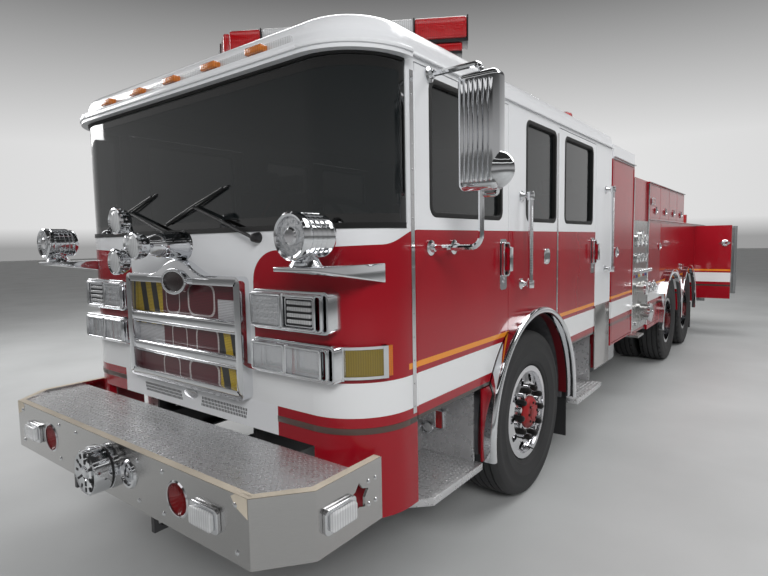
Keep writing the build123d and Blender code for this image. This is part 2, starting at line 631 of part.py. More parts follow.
def grille():
    half, y = GRILLE["half"], GRILLE["y"]
    z0, z1 = GRILLE["z"]
    wide = 44
    frame = pad_y(0, (z0 + z1) / 2, 2 * half, z1 - z0, 30, y, Y_NOSE)
    frame -= pad_y(0, (z0 + z1) / 2, 2 * (half - wide), z1 - z0 - 2 * wide, 14, y - 1, Y_NOSE + 1)
    crest = slab_y([(-150, z1 - 20), (150, z1 - 20), (118, z1 + 65), (-118, z1 + 65)], y, Y_NOSE)
    frame += crest
    for z in BARS:
        for offset in (-17, 17):
            reach = half - wide / 2
            frame += block(-reach, reach, y + 4, y + 26, z + offset - 11, z + offset + 11)
    for x in (-half * 0.5, half * 0.5):
        frame += block(x - 9, x + 9, y + 10, y + 26, z0 + wide / 2, z1 - wide / 2)
    frame += block(-half + wide / 2, half - wide / 2, y + 38, y + 42, z0 + wide / 2, z1 - wide / 2)
    badge = Pos(0, y - 10, EMBLEM["z"]) * Rot(90, 0, 0) * Ellipse(EMBLEM["w"] / 2, EMBLEM["h"] / 2)
    frame += Part() + extrude(badge, amount=14, dir=(0, 1, 0))
    return frame


# Lamp bezels and lenses, one table for both: half-open boxes on the front skin
BEZELS = [{"x": (585, HALF - 120), "z": (1300, 1460), "y": -415},
          {"x": (585, HALF - 158), "z": (1100, 1240), "y": -418}]
SIGNAL = {"z": (1160, 1270), "proud": 26}


def bezel(row):
    x0, x1 = row["x"]
    z0, z1 = row["z"]
    shape = pad_y((x0 + x1) / 2, (z0 + z1) / 2, x1 - x0, z1 - z0, 22, row["y"], 0)
    shape -= nose_solid(-FIT, Y_CORNER + 60, 0, 3000)
    middle, wall = (x0 + x1) / 2, 20
    for a, b in ((x0 + wall, middle - wall / 2), (middle + wall / 2, x1 - wall)):
        size = (b - a, z1 - z0 - 2 * wall)
        shape -= pad_y((a + b) / 2, (z0 + z1) / 2, *size, 12, row["y"] - 1, row["y"] + 36)
    return shape


def lenses(row):
    x0, x1 = row["x"]
    z0, z1 = row["z"]
    middle, wall = (x0 + x1) / 2, 20
    cells = []
    for a, b in ((x0 + wall, middle - wall / 2), (middle + wall / 2, x1 - wall)):
        cells.append(pad_y((a + b) / 2, (z0 + z1) / 2, b - a - 2 * FIT, z1 - z0 - 2 * wall - 2 * FIT, 12,
                           row["y"] + 12, row["y"] + 36))
    return cells


def turn_signal():
    """Amber lamp that wraps the left front corner behind the lower bezel."""
    z0, z1 = SIGNAL["z"]
    band = nose_band(-SIGNAL["proud"], -FIT, z0, z1, Y_CORNER + 20)
    return band & block(HALF - 156, 1400, -300, Y_CORNER - 4, z0, z1)


# Flood lamps on wedge brackets and the carrier of the rotating warning lamp
FLOOD = {"x": HALF - 130, "z": 1697, "r": 81, "y": (-620, -440)}
ROTOR = {"z": 1686, "y": (-700, -580), "ring": 114, "r": 60}


def front_lamps():
    lamp = rod_y(FLOOD["x"], FLOOD["z"], FLOOD["y"][0], FLOOD["y"][1], FLOOD["r"])
    lamp = fillet(lamp.faces().sort_by(Axis.Y)[-1].edges(), 40)
    lamp -= rod_y(FLOOD["x"], FLOOD["z"], FLOOD["y"][0] - 1, FLOOD["y"][0] + 14, FLOOD["r"] - 9)
    lamp += rod_z(FLOOD["x"], -540, 1583, FLOOD["z"] - FLOOD["r"] + 20, 34)
    tip = FLOOD["y"][0]
    wedge = slab_x([(tip, 1583), (tip, 1563), (-100, 1485), (-100, 1583)], HALF - 230, HALF - 40)
    wedge -= nose_solid(-FIT, Y_CORNER + 60, 0, 3000)
    lamp += wedge
    base = rod_y(0, ROTOR["z"] - 20, ROTOR["y"][1] + 8, Y_NOSE, 52)
    base += rod_y(0, ROTOR["z"] - 20, Y_NOSE - 14, Y_NOSE, 80)
    base += rod_y(0, ROTOR["z"], ROTOR["y"][0] + 50, ROTOR["y"][1] + 10, 12)
    return [lamp, flip(lamp), base]


def warning_rotor():
    """Three lamps on a hub that turns about a fore and aft shaft."""
    y0, y1 = ROTOR["y"]
    hub = rod_y(0, ROTOR["z"], y0 + 36, y1 - 2, 40)
    for i in range(3):
        angle = radians(112 + i * 120)
        x, z = ROTOR["ring"] * cos(angle), ROTOR["z"] + ROTOR["ring"] * sin(angle)
        hub += rod_y(x, z, y0, y0 + 60, ROTOR["r"])
        arm = Rot(0, -(112 + i * 120), 0) * Box(ROTOR["ring"], 24, 26)
        hub += Pos(x / 2, y0 + 70, (z + ROTOR["z"]) / 2) * arm + rod_y(x, z, y0 + 58, y0 + 84, 34)
    return hub - rod_y(0, ROTOR["z"], y0 + 48, y1 + 20, 12 + RUNNING)


# Roof lights: angled light bar and two beacons at the back of the cab roof
BAR = {"apex": -60, "end": (HALF - 70, 620), "above": 60, "tall": 190, "tier": 60, "deep": 150}
BEACON = {"x": HALF - 340, "y": 2880, "tall": 190, "r": 85}


def roof_lights():
    ex, ey = BAR["end"]
    z0 = Z_ROOF + BAR["above"]
    deep, tier = BAR["deep"], z0 + BAR["tier"]
    arm = [(0, BAR["apex"]), (ex, ey), (ex - 0.5 * deep, ey + 0.86 * deep), (0, BAR["apex"] + 1.2 * deep)]
    upper = slab_z(arm, tier, z0 + BAR["tall"])
    lower = slab_z([(x * 0.94, y + 20) for x, y in arm], z0, tier)
    side = upper + lower
    for x in (180, 880):
        y = BAR["apex"] + (ey - BAR["apex"]) * x / ex + 90
        side += block(x - 45, x + 45, y - 45, y + 45, Z_ROOF, z0)
    bar = side + flip(side)
    beacon = rod_z(BEACON["x"], BEACON["y"], Z_ROOF, Z_ROOF + BEACON["tall"], BEACON["r"])
    beacon = fillet(beacon.faces().sort_by(Axis.Z)[-1].edges(), 30)
    return [bar, beacon, flip(beacon)]


# Cab hardware: rails, hinge strips and wiper arms
def cab_hardware():
    pieces = []
    x1 = HALF
    for y, z0, z1 in ((1150, 1400, 1930), (2970, 1400, 2090)):
        rail = pipe([(x1, y, z0), (x1 + 62, y, z0), (x1 + 62, y, z1), (x1, y, z1)], 30, 16)
        pieces += both(rail)
    for name, y in (("front", DOOR_FRONT[0]), ("crew", DOOR_CREW[0])):
        pieces += both(block(x1, x1 + 3, y - 34, y - SEAM, HINGE_LOW[name], HINGE_TOP))
    for x in (-560, 300):
        arm = block(x - 30, x + 10, Y_NOSE - 26, Y_NOSE, Z_BELT - 62, Z_BELT - 22)
        arm += slab_y([(x - 12, Z_BELT - 50), (x + 6, Z_BELT - 52), (x - 300, Z_BELT + 130),
                       (x - 312, Z_BELT + 122)], Y_NOSE - 34, Y_NOSE - 22)
        blade = slab_y([(x - 470, Z_BELT + 30), (x - 462, Z_BELT + 22), (x - 128, Z_BELT + 228),
                        (x - 136, Z_BELT + 236)], Y_NOSE - 22, Y_NOSE - 8)
        pieces.append(arm + blade)
    return pieces


# Steps: treads, risers and cheeks under the doors, and the polished wheel crowns
def step(spec, chamfer_front):
    x0, x1 = spec["x"]
    y0, y1 = spec["y"]
    z0, z1 = spec["z"]
    skin = 8
    corner = [(x0, y0), (x1 - 110, y0), (x1, y0 + 110), (x1, y1), (x0, y1)] if chamfer_front else [
        (x0, y0), (x1, y0), (x1, y1), (x0, y1)]
    tread = slab_z(corner, z0, z1)
    tread += block(x0, x0 + skin, y0, y1, z1, Z_FLOOR)
    cheek_x = HALF - WALL - 8
    tread += block(x0, cheek_x, y0, y0 + skin, z1, Z_FLOOR)
    tread += block(x0, cheek_x, y1 - skin, y1, z1, Z_FLOOR)
    return tread


def cab_steps():
    front = step(FRONT_STEP, True)
    crew = step(CREW_STEP, False)
    crown = arch(CROWN_R, HALF, HALF + 68) - arch(WELL_R - 8, HALF - 1, HALF + 70)
    crown -= block(HALF - 1, HALF + 80, 0, Y_STEER, -HALF, 445)
    crown -= block(HALF - 1, HALF + 80, Y_STEER, 3000, -HALF, 480)
    filler = block(HALF - PLATE, HALF, FRONT_STEP["y"][1], Y_STEER, 445, Z_SILL - SEAM)
    filler += block(HALF - PLATE, HALF, Y_STEER, CREW_STEP["y"][0], 600, Z_SILL - SEAM)
    crown += filler - arch(WELL_R, 0, HALF + 1)
    return both(front) + both(crew) + both(crown)


# Cab interior: six seats, the dashboard and the steering wheel
SEATS = [{"x": 800, "y": 480, "face": 1, "base": 985}, {"x": 770, "y": 1500, "face": -1, "base": 985},
         {"x": 800, "y": 2560, "face": 1, "base": 985}]


def seat(row):
    """Pedestal, cushion, back and head rest; face is 1 when the sitter looks forward."""
    x, y, face, base = row["x"], row["y"], row["face"], row["base"]
    half = 240
    shape = block(x - 180, x + 180, y - 180, y + 180, base, 1380) - arch(WELL_R + 22 + FIT, 0, HALF)
    shape += fillet(block(x - half, x + half, y - 250, y + 250, 1380, 1500).edges().filter_by(Axis.X), 40)
    back = slab_x([(230, 1440), (340, 1440), (420, 2080), (350, 2080)], -half + 10, half - 10)
    back = fillet(back.edges().filter_by(Axis.X), 25)
    head = block(-140, 140, 345, 425, 2080, 2220)
    back += fillet(head.edges().filter_by(Axis.X), 25)
    if face < 0:
        back = Rot(0, 0, 180) * back
    return shape + Pos(x, y, 0) * back


def cab_interior():
    pieces = []
    for row in SEATS:
        pieces += both(seat(row))
    wide, top = HALF - WALL, 1660
    inner, over = TUNNEL["half"] + TUNNEL["sheet"], TUNNEL["top"] + TUNNEL["sheet"]
    dash = slab_y([(-wide, 1300), (-inner, 1300), (-inner, over), (inner, over),
                   (inner, 1300), (wide, 1300), (wide, top), (-wide, top)], Y_NOSE + WALL + 1, 40)
    dash -= nose_band(-60, WALL + FIT, 0, 3000, 200)
    dash += block(560, 1040, -150, 60, top, top + 60)
    wheel = rod_z(0, 0, -200, 130, 24) + rod_z(0, 0, 110, 145, 50) + Pos(0, 0, 130) * Torus(215, 15)
    wheel += block(-215, 215, -16, 16, 124, 136)
    pieces.append(dash + Pos(800, 10, 1640) * Rot(-35, 0, 0) * wheel)
    return pieces


# Mirrors: rounded polished heads on a bent arm, one on each front door
MIRROR = {"x": HALF + 260, "y": 120, "z": (1880, 2370), "w": 190, "deep": 100}


def door_mirror():
    x, y = MIRROR["x"], MIRROR["y"]
    z0, z1 = MIRROR["z"]
    half, deep = MIRROR["w"] / 2, MIRROR["deep"] / 2
    head = block(x - half, x + half, y - deep, y + deep, z0, z1)
    front = head.faces().sort_by(Axis.Y)[0]
    head = fillet(front.edges(), 40)
    arm = pipe([(HALF, y, 1640), (x, y, 1640), (x, y, z0 + 20)], 60, 13)
    brace = pipe([(HALF, y, 2410), (x, y, 2410), (x, y, z1 - 20)], 20, 13)
    plate = rod_x(y, 1640, HALF, HALF + 8, 34)
    foot = rod_x(y, 2410, HALF, HALF + 8, 20)
    return head + arm + brace + plate + foot


# Forward body: the tall equipment module and the pump house behind it
FORE_Z = (675, 2510)
TALL_DOOR_Z = (690, 2380)


def compartment(y0, y1, z0, z1, depth):
    """The hollow of a compartment that opens to the left."""
    return block(HALF - depth, HALF + 1, y0, y1, z0, z1)


def forward_body():
    module = block(-HALF, HALF, Y_FORE, Y_PUMP, FORE_Z[0], FORE_Z[1])
    hollow = compartment(Y_FORE + 30, Y_PUMP - 30, TALL_DOOR_Z[0], TALL_DOOR_Z[1], 560)
    module -= hollow + flip(hollow)
    module -= block(-RAIL_X - 20, RAIL_X + 20, Y_FORE - 1, Y_PUMP + 1, 0, RAIL_Z[1])
    groove = groove_at(Y_PUMP - 30, TALL_DOOR_Z[0] + 20, TALL_DOOR_Z[1] - 20)
    module -= groove + flip(groove)
    house = block(-HALF + 20, HALF - 20, Y_PUMP, Y_BODY, 640, 2300)
    house -= block(-RAIL_X - 20, RAIL_X + 20, Y_PUMP - 1, Y_BODY + 1, 0, RAIL_Z[1])
    house -= block(-600, 600, Y_PUMP, Y_BODY + 1, 1500, 2301)
    return module + house


def tall_door():
    span = (Y_FORE + 30, Y_PUMP - 30)
    z0, z1 = TALL_DOOR_Z
    leaf = block(HALF - 40, HALF, span[0] + SEAM, span[1] - SEAM, z0 + SEAM, z1 - SEAM)
    leaf += rod_x(span[0] + 110, 1540, HALF, HALF + 8, 46)
    return leaf + barrel_at(span[1], z0 + 20, z1 - 20, -9, -2, -1)


# Pump panels: brushed plates with gauges, three discharges and a large suction inlet
PANEL = {"y": (4040, 4730), "z": (680, 1850)}
OUTLETS = [(4180, 1130), (4385, 1130), (4590, 1130)]
OUTLET = {"r": 42, "proud": 110}
SUCTION = {"y": 4385, "z": 860, "r": 84, "proud": 120}
RIGHT_SHIFT = -40
GAUGES = [(4200, 1640, 62), (4385, 1660, 78), (4570, 1640, 62), (4180, 1450, 44), (4320, 1450, 44),
          (4450, 1450, 44), (4590, 1450, 44)]


def pump_panel(shift):
    """A left panel; shift moves its couplings rearward, because the two sides are piped apart."""
    y0, y1 = PANEL["y"]
    z0, z1 = PANEL["z"]
    face = HALF - 6
    plate = block(HALF - 20, face, y0, y1, z0, z1)
    for y, z, r in GAUGES:
        plate += rod_x(y, z, face, face + 14, r)
    for y, z in OUTLETS:
        plate += rod_x(y + shift, z, face, face + 20, OUTLET["r"] + 22)
        plate += rod_x(y + shift, z, face, HALF + OUTLET["proud"], OUTLET["r"])
    y = SUCTION["y"] + shift
    plate += rod_x(y, SUCTION["z"], face, face + 24, SUCTION["r"] + 30)
    plate += rod_x(y, SUCTION["z"], face, HALF + SUCTION["proud"], SUCTION["r"])
    plate += block(HALF - 180, HALF + 60, 4060, 4300, 620, 640)
    return plate


# Rear body: side compartments, hose bed between them, wheel arches
BODY_Z = (610, 1870)
UPPER_Z = 2300
UPPER_END = 7100
HOSE_BED = {"half": 600, "floor": 1400}
LOW_DOOR = (4800, 5430)
REAR_DOOR = (8290, 9330)
REAR_DOOR_Z = (650, 1850)


def rear_body():
    body = block(-HALF, HALF, Y_BODY, Y_BODY_END, BODY_Z[0], BODY_Z[1])
    body += block(-HALF, HALF, Y_BODY, UPPER_END, BODY_Z[1], UPPER_Z)
    half = HOSE_BED["half"]
    body -= block(-half, half, Y_BODY + 40, Y_BODY_END + 1, HOSE_BED["floor"], UPPER_Z + 1)
    body -= block(-RAIL_X - 20, RAIL_X + 20, Y_BODY - 1, Y_BODY_END + 1, 0, RAIL_Z[1])
    for y in Y_DRIVE:
        body -= rod_x(y, HUB_Z, -HALF - 1, HALF + 1, REAR_WELL_R)
    hollow = compartment(REAR_DOOR[0], REAR_DOOR[1], REAR_DOOR_Z[0], REAR_DOOR_Z[1], 560)
    body -= hollow + flip(hollow)
    for y in REAR_DOOR:
        groove = groove_at(y, REAR_DOOR_Z[0] + 20, REAR_DOOR_Z[1] - 20)
        body -= groove + flip(groove)
    relief = 4
    doors = [(LOW_DOOR[0], LOW_DOOR[1], 650, 1850)]
    doors += [(Y_BODY + 40 + i * 575, Y_BODY + 40 + i * 575 + 550, 1895, 2270) for i in range(4)]
    doors += [(5470, 6820, 1290, 1850), (6870, 8220, 1290, 1850)]
    for y0, y1, z0, z1 in doors:
        groove = block(HALF - relief, HALF + 1, y0, y1, z0, z1) - block(
            HALF - relief - 1, HALF + 2, y0 + 8, y1 - 8, z0 + 8, z1 - 8)
        body -= groove + flip(groove)
        if z0 > 1800:
            latch = rod_x((y0 + y1) / 2, z0 + 90, HALF, HALF + 8, 42)
            body += latch + flip(latch)
        elif z0 < 1000:
            latch = rod_x(y1 - 90, 1560, HALF, HALF + 8, 42)
            body += latch + flip(latch)
    return body


def rear_leaf(forward):
    """One leaf of the left rear double door, standing open at a right angle."""
    width = (REAR_DOOR[1] - REAR_DOOR[0]) / 2 - SEAM / 2
    z0, z1 = REAR_DOOR_Z[0] + SEAM, REAR_DOOR_Z[1] - SEAM
    x0, x1 = HALF + SEAM, HALF + width
    y0, y1 = (REAR_DOOR[0], REAR_DOOR[0] + 40) if forward else (REAR_DOOR[1] - 40, REAR_DOOR[1])
    leaf = block(x0, x1, y0, y1, z0, z1)
    if forward:
        leaf += rod_y(x1 - 90, 1560, y0 - 10, y0, 46)
    y, reach = (REAR_DOOR[0], 1) if forward else (REAR_DOOR[1], -1)
    return leaf + barrel_at(y, z0 + 14, z1 - 14, 2, 9, reach)


# Polished fenderettes over the tandem wheels, meeting in a V between them
def fenderette():
    outer, inner = Part(), Part()
    for y in Y_DRIVE:
        outer += rod_x(y, HUB_Z, HALF, HALF + 50, CROWN_R)
        inner += rod_x(y, HUB_Z, HALF - 1, HALF + 51, REAR_WELL_R + 4)
    return outer - inner - block(HALF - 1, HALF + 60, Y_BODY, Y_BODY_END, -HALF, 500)


# Tailboard with its supports, tail lamps, side markers and beacons
def tailboard():
    board = block(-HALF, HALF, Y_BODY_END, Y_TAIL, 520, 560)
    board += block(-HALF, HALF, Y_TAIL - 12, Y_TAIL, 450, 560)
    for side in (-1, 1):
        x0, x1 = sorted((side * (RAIL_X - 50), side * (RAIL_X + 12)))
        board += slab_x([(Y_BODY_END, 560), (Y_BODY_END, 640), (Y_BODY_END + 220, 560)], x0, x1)
        board += block(x0, x1, Y_BODY_END, Y_BODY_END + 20, 500, 720)
    return board


def body_lamps():
    lamps = []
    for side in (-1, 1):
        for z, h in ((1000, 170), (1200, 170), (1400, 130)):
            lamps.append(pad_y(side * (HALF - 140), z, 200, h, 20, Y_BODY_END, Y_BODY_END + 30))
        lamps.append(rod_z(side * (HALF - 220), REAR_DOOR[0] + 130, BODY_Z[1], BODY_Z[1] + 170, 75))
        for y in (4900, 7000):
            x0, x1 = sorted((side * HALF, side * (HALF + 16)))
            lamps.append(pad_x(y, 1240 if y > 6000 else 2284 - 200, 150, 60, 10, x0, x1))
    return lamps


def mudflaps():
    flaps = []
    for y, x0 in ((Y_STEER + 712, 900), (Y_DRIVE[1] + 660, 600)):
        x1, bar_z = HALF - 20, 560
        flap = block(x0, x1, y, y + 10, 160, 590) + block(x0, x1, y + 8, y + 14, bar_z - 20, bar_z + 20)
        flap += rod_x(y + 22, bar_z, RAIL_X + 12, x1 - 20, 14)
        flap += block(RAIL_X, RAIL_X + 14, y - 10, y + 50, bar_z - 30, 720)
        flaps += both(flap)
    return flaps


os.makedirs("parts", exist_ok=True)
save("chassis_frame", chassis_frame())
save("front_bumper", front_bumper())
save("bumper_deck", bumper_deck())
save("bumper_fittings", *bumper_fittings())
save("powertrain", powertrain())
save("front_axle", front_axle())
save("rear_axles", rear_axles())
save("chassis_tanks", *chassis_tanks())
save("forward_body", forward_body())
save("pump_panels", pump_panel(0), flip(pump_panel(RIGHT_SHIFT)))
save("rear_body", rear_body())
save("rear_fenders", *both(fenderette()))
save("tailboard", tailboard())
save("body_lamps", *body_lamps())
save("mudflaps", *mudflaps())

save("cab_front", cab_front())
save("cab_sides", *both(cab_side()))
save("cab_rear_wall", cab_rear_wall())
save("cab_roof", cab_roof())
save("cab_floor", cab_floor())
save("cab_glass", *cab_glass())
save("grille", grille())
save("lamp_housings", *[piece for row in BEZELS for piece in both(bezel(row))], *front_lamps())
save("lamp_lenses", *[half for row in BEZELS for cell in lenses(row) for half in both(cell)],
     *both(turn_signal()))
save("roof_lights", *roof_lights())
save("cab_hardware", *cab_hardware())
save("cab_steps", *cab_steps())
save("cab_interior", *cab_interior())
save("warning_rotor", warning_rotor())

LEFT = {"door_front": door(DOOR_FRONT, "front"), "door_crew": door(DOOR_CREW, "crew"),
        "pane_front": door_pane("front"), "pane_crew": door_pane("crew"), "mirror": door_mirror(),
        "tall_door": tall_door(), "rear_leaf_fore": rear_leaf(True), "rear_leaf_aft": rear_leaf(False),
        "knuckle": knuckle(), "tyre_front": tyre(STEER_X, Y_STEER, STEER_W), "rim_front": steer_wheel()}
for i, y in enumerate(Y_DRIVE):
    duals = Part() + tyre(DUAL_X[0], y, DUAL_W) + tyre(DUAL_X[1], y, DUAL_W)
    LEFT[f"tyres_rear_{i + 1}"] = duals
    LEFT[f"rims_rear_{i + 1}"] = dual_wheel(y)
for name, shape in LEFT.items():
    save(f"{name}_left", shape)
    save(f"{name}_right", flip(shape))
save("tie_rod", tie_rod())
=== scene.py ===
from math import atan2, cos, pi, radians, sin, sqrt

import bpy
from mathutils import Matrix, Vector


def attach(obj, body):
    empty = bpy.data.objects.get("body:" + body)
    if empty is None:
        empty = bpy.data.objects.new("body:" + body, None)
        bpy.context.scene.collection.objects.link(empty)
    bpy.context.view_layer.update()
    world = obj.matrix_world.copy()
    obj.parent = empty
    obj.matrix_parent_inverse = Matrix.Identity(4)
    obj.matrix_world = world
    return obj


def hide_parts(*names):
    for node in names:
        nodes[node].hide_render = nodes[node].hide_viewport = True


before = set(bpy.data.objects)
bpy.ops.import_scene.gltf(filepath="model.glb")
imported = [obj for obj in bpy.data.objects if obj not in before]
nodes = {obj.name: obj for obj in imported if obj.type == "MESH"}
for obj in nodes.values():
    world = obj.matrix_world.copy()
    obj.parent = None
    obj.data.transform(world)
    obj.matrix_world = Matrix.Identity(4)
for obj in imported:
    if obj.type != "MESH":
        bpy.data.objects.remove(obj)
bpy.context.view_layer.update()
DOOR_EDGE = -4.4175


def station(y):
    return y + DOOR_EDGE


# %% [markdown]
# Operators act on whatever is selected, and a fresh import leaves everything selected.
# These few helpers keep that under control: one takes an object alone, one picks faces
# or edges by their place, and one settles a finished piece with its place in its mesh.
# %% Selection helpers


def nothing_selected():
    """Object mode, with nothing selected."""
    if bpy.context.mode != "OBJECT":
        bpy.ops.object.mode_set(mode="OBJECT")
    bpy.ops.object.select_all(action="DESELECT")


def alone(thing):
    """Only this object is selected and active."""
    nothing_selected()
    thing.select_set(True)
    bpy.context.view_layer.objects.active = thing
    return thing


def applied(thing):
    """Puts its place, turn and size into its mesh."""
    alone(thing)
    bpy.ops.object.transform_apply(location=True, rotation=True, scale=True)
    return thing


def added(name):
    """The primitive that an operator has just added, under its own name."""
    thing = bpy.context.object
    thing.name = thing.data.name = name
    return thing


def edit(thing, kind="FACE"):
    alone(thing)
    bpy.ops.object.mode_set(mode="EDIT")
    bpy.ops.mesh.select_mode(type=kind)
    bpy.ops.mesh.select_all(action="DESELECT")


def edit_all(thing, kind="FACE"):
    edit(thing, kind)
    bpy.ops.mesh.select_all(action="SELECT")


def done():
    bpy.ops.object.mode_set(mode="OBJECT")


def pick(thing, test, kind="faces"):
    """Selects the faces, edges or vertices whose middle and normal pass the test."""
    bpy.ops.object.mode_set(mode="OBJECT")
    mesh = thing.data
    for face in mesh.polygons:
        face.select = kind == "faces" and test(face.center, face.normal)
    for edge in mesh.edges:
        a, b = (mesh.vertices[i].co for i in edge.vertices)
        edge.select = kind == "edges" and test((a + b) / 2, (b - a).normalized())
    for vertex in mesh.vertices:
        vertex.select = kind == "vertices" and test(vertex.co, vertex.normal)
    bpy.ops.object.mode_set(mode="EDIT")


def with_modifier(thing, kind, **values):
    alone(thing)
    modifier = thing.modifiers.new("shape", kind)
    for key, value in values.items():
        setattr(modifier, key, value)
    bpy.ops.object.modifier_apply(modifier=modifier.name)
    return thing


def softened(thing, width, segments):
    """Rounds the sharp edges."""
    return with_modifier(thing, "BEVEL", width=width, segments=segments, limit_method="ANGLE")


def repeated(thing, count, step):
    """A straight row of copies, one step apart."""
    return with_modifier(thing, "ARRAY", count=count, use_relative_offset=False, use_constant_offset=True,
                         constant_offset_displace=step)


def extrude(step):
    bpy.ops.mesh.extrude_region_move(TRANSFORM_OT_translate={"value": step})


def closed(merge=0.0):
    """Merges doubled points, turns every face outwards and leaves edit mode."""
    bpy.ops.mesh.select_all(action="SELECT")
    if merge:
        bpy.ops.mesh.remove_doubles(threshold=merge)
    bpy.ops.mesh.normals_make_consistent(inside=False)
    done()


def moved(thing, matrix):
    thing.data.transform(matrix)
    return thing


def turn_about(centre, angle, axis):
    """A turn about a line through a centre, along x, y or z."""
    centre = Vector(centre)
    return Matrix.Translation(centre) @ Matrix.Rotation(angle, 4, axis.upper()) @ Matrix.Translation(-centre)


def copy_of(thing, name, matrix=Matrix()):
    """A copy with its own mesh, moved by a matrix."""
    alone(thing)
    bpy.ops.object.duplicate(linked=False)
    twin = added(name)
    twin.data.transform(matrix)
    if matrix.determinant() < 0:
        twin.data.flip_normals()
    return twin


def joined(name, things):
    alone(things[0])
    for thing in things:
        thing.select_set(True)
    if len(things) > 1:
        bpy.ops.object.join()
    return added(name)


MIRROR_X = Matrix.Scale(-1, 4, (1, 0, 0))
SIDES = (("_left", Matrix()), ("_right", MIRROR_X))


def painted(thing, finish):
    thing.data.materials.clear()
    thing.data.materials.append(finish)


def settle(thing, body, finish, slot="polished_trim", stands_for=(), angle=35, bevel=0.0):
    """Bevels, smooths and paints a piece, and lets it ride on its body."""
    applied(thing)
    if bevel:
        softened(thing, bevel, 2)
    bpy.ops.object.shade_smooth_by_angle(angle=radians(angle))
    painted(thing, finish)
    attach(thing, body)
    if stands_for:
        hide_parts(*stands_for)
    print(thing.name, "rides on", body, "with", len(thing.data.polygons), "faces")
    return thing


def on_each_side(form, name, body, finish, slot="polished_trim", stands_for=()):
    """A left form and its mirror image, each settled on the body of its own side."""
    for side, change in SIDES:
        settle(copy_of(form, name + side, change), body + side, finish, slot,
               [node + side for node in stands_for])
    bpy.data.objects.remove(form)


# %% [markdown]
# Four starting forms are used all over the vehicle. A box with rounded edges is a cube
# with a bevel. A turned form is a row of points extruded one by one and then spun about
# an axis, as on a lathe. A plate is a flat outline given a thickness. A tube is a round
# curve that follows a path and becomes a mesh.
# %% Starting forms


def box(name, low, high, radius=0.0, segments=2):
    low, high = Vector(low), Vector(high)
    nothing_selected()
    bpy.ops.mesh.primitive_cube_add(size=1, location=(low + high) / 2)
    thing = added(name)
    thing.scale = high - low
    applied(thing)
    if radius:
        with_modifier(thing, "BEVEL", width=radius, segments=segments, limit_method="NONE")
    return thing


AXES = {"x": Vector((1, 0, 0)), "y": Vector((0, 1, 0)), "z": Vector((0, 0, 1))}
RADIAL = {"x": Vector((0, 0, 1)), "y": Vector((0, 0, 1)), "z": Vector((1, 0, 0))}


def thread(name, points):
    """A row of vertices joined by edges, extruded one by one from a single point."""
    places = [Vector(place) for place in points]
    nothing_selected()
    bpy.ops.mesh.primitive_plane_add(size=0.001, location=(0, 0, 0))
    path = added(name)
    edit_all(path, "VERT")
    bpy.ops.mesh.merge(type="CENTER")
    bpy.ops.transform.translate(value=places[0])
    for before, after in zip(places, places[1:]):
        extrude(after - before)
    done()
    return path


def turned(name, centre, axis, profile, steps=32):
    """Spins (along the axis, radius) points about an axis through a centre."""
    centre, along, out = Vector(centre), AXES[axis], RADIAL[axis]
    thing = thread(name, [centre + along * a + out * r for a, r in profile])
    edit_all(thing, "VERT")
    bpy.ops.mesh.spin(steps=steps, angle=2 * pi, center=centre, axis=along)
    closed(merge=0.00005)
    return thing


def plate(name, outline, axis, low, high):
    """A flat outline in the plane across an axis, extruded from low to high."""
    along = AXES[axis]
    spots = {"x": lambda a, b: (low, a, b), "y": lambda a, b: (a, low, b), "z": lambda a, b: (a, b, low)}
    nothing_selected()
    bpy.ops.mesh.primitive_circle_add(vertices=len(outline), radius=1, fill_type="NGON")
    thing = added(name)
    for vertex, (a, b) in zip(thing.data.vertices, outline):
        vertex.co = spots[axis](a, b)
    edit_all(thing)
    extrude(along * (high - low))
    closed()
    return thing


def tube(name, points, radius, bend=0.03, steps=3):
    """A round bar through points, its corners rounded by a bevel on the path."""
    path = thread(name, points)
    if bend and len(points) > 2:
        ends = Vector(points[0]), Vector(points[-1])
        edit(path, "VERT")
        pick(path, lambda place, normal: min((place - end).length for end in ends) > 0.0005, "vertices")
        bpy.ops.mesh.bevel(offset=bend, segments=steps, affect="VERTICES", offset_type="OFFSET")
    done()
    bpy.ops.object.convert(target="CURVE")
    path.data.bevel_depth = radius
    path.data.bevel_resolution = 2
    path.data.use_fill_caps = True
    bpy.ops.object.convert(target="MESH")
    return added(name)


def ring_of(thing, name, count, centre, axis, first=0.0):
    """Copies of a thing set round an axis, joined with it."""
    copies = [copy_of(thing, name, turn_about(centre, 2 * pi * i / count + first, axis))
              for i in range(count)]
    bpy.data.objects.remove(thing)
    return joined(name, copies)


def both_sides(name, things):
    """A left piece joined with its mirror image."""
    left = joined(name, things)
    return joined(name, [left, copy_of(left, name, MIRROR_X)])


def settle_pair(name, forms, *where, **how):
    """Joins left forms with their mirror images and settles them as one piece."""
    return settle(both_sides(name, forms), *where, **how)


# %% [markdown]
# Paint, metal and glass are written as small formulas. `Signal` wraps the output of a
# shader node, so that `mask * 0.2 + 0.1` adds the Math nodes by itself. `Finish` is one
# material around a Principled shader, with one method that adds any other node.
# %% Signals and finishes


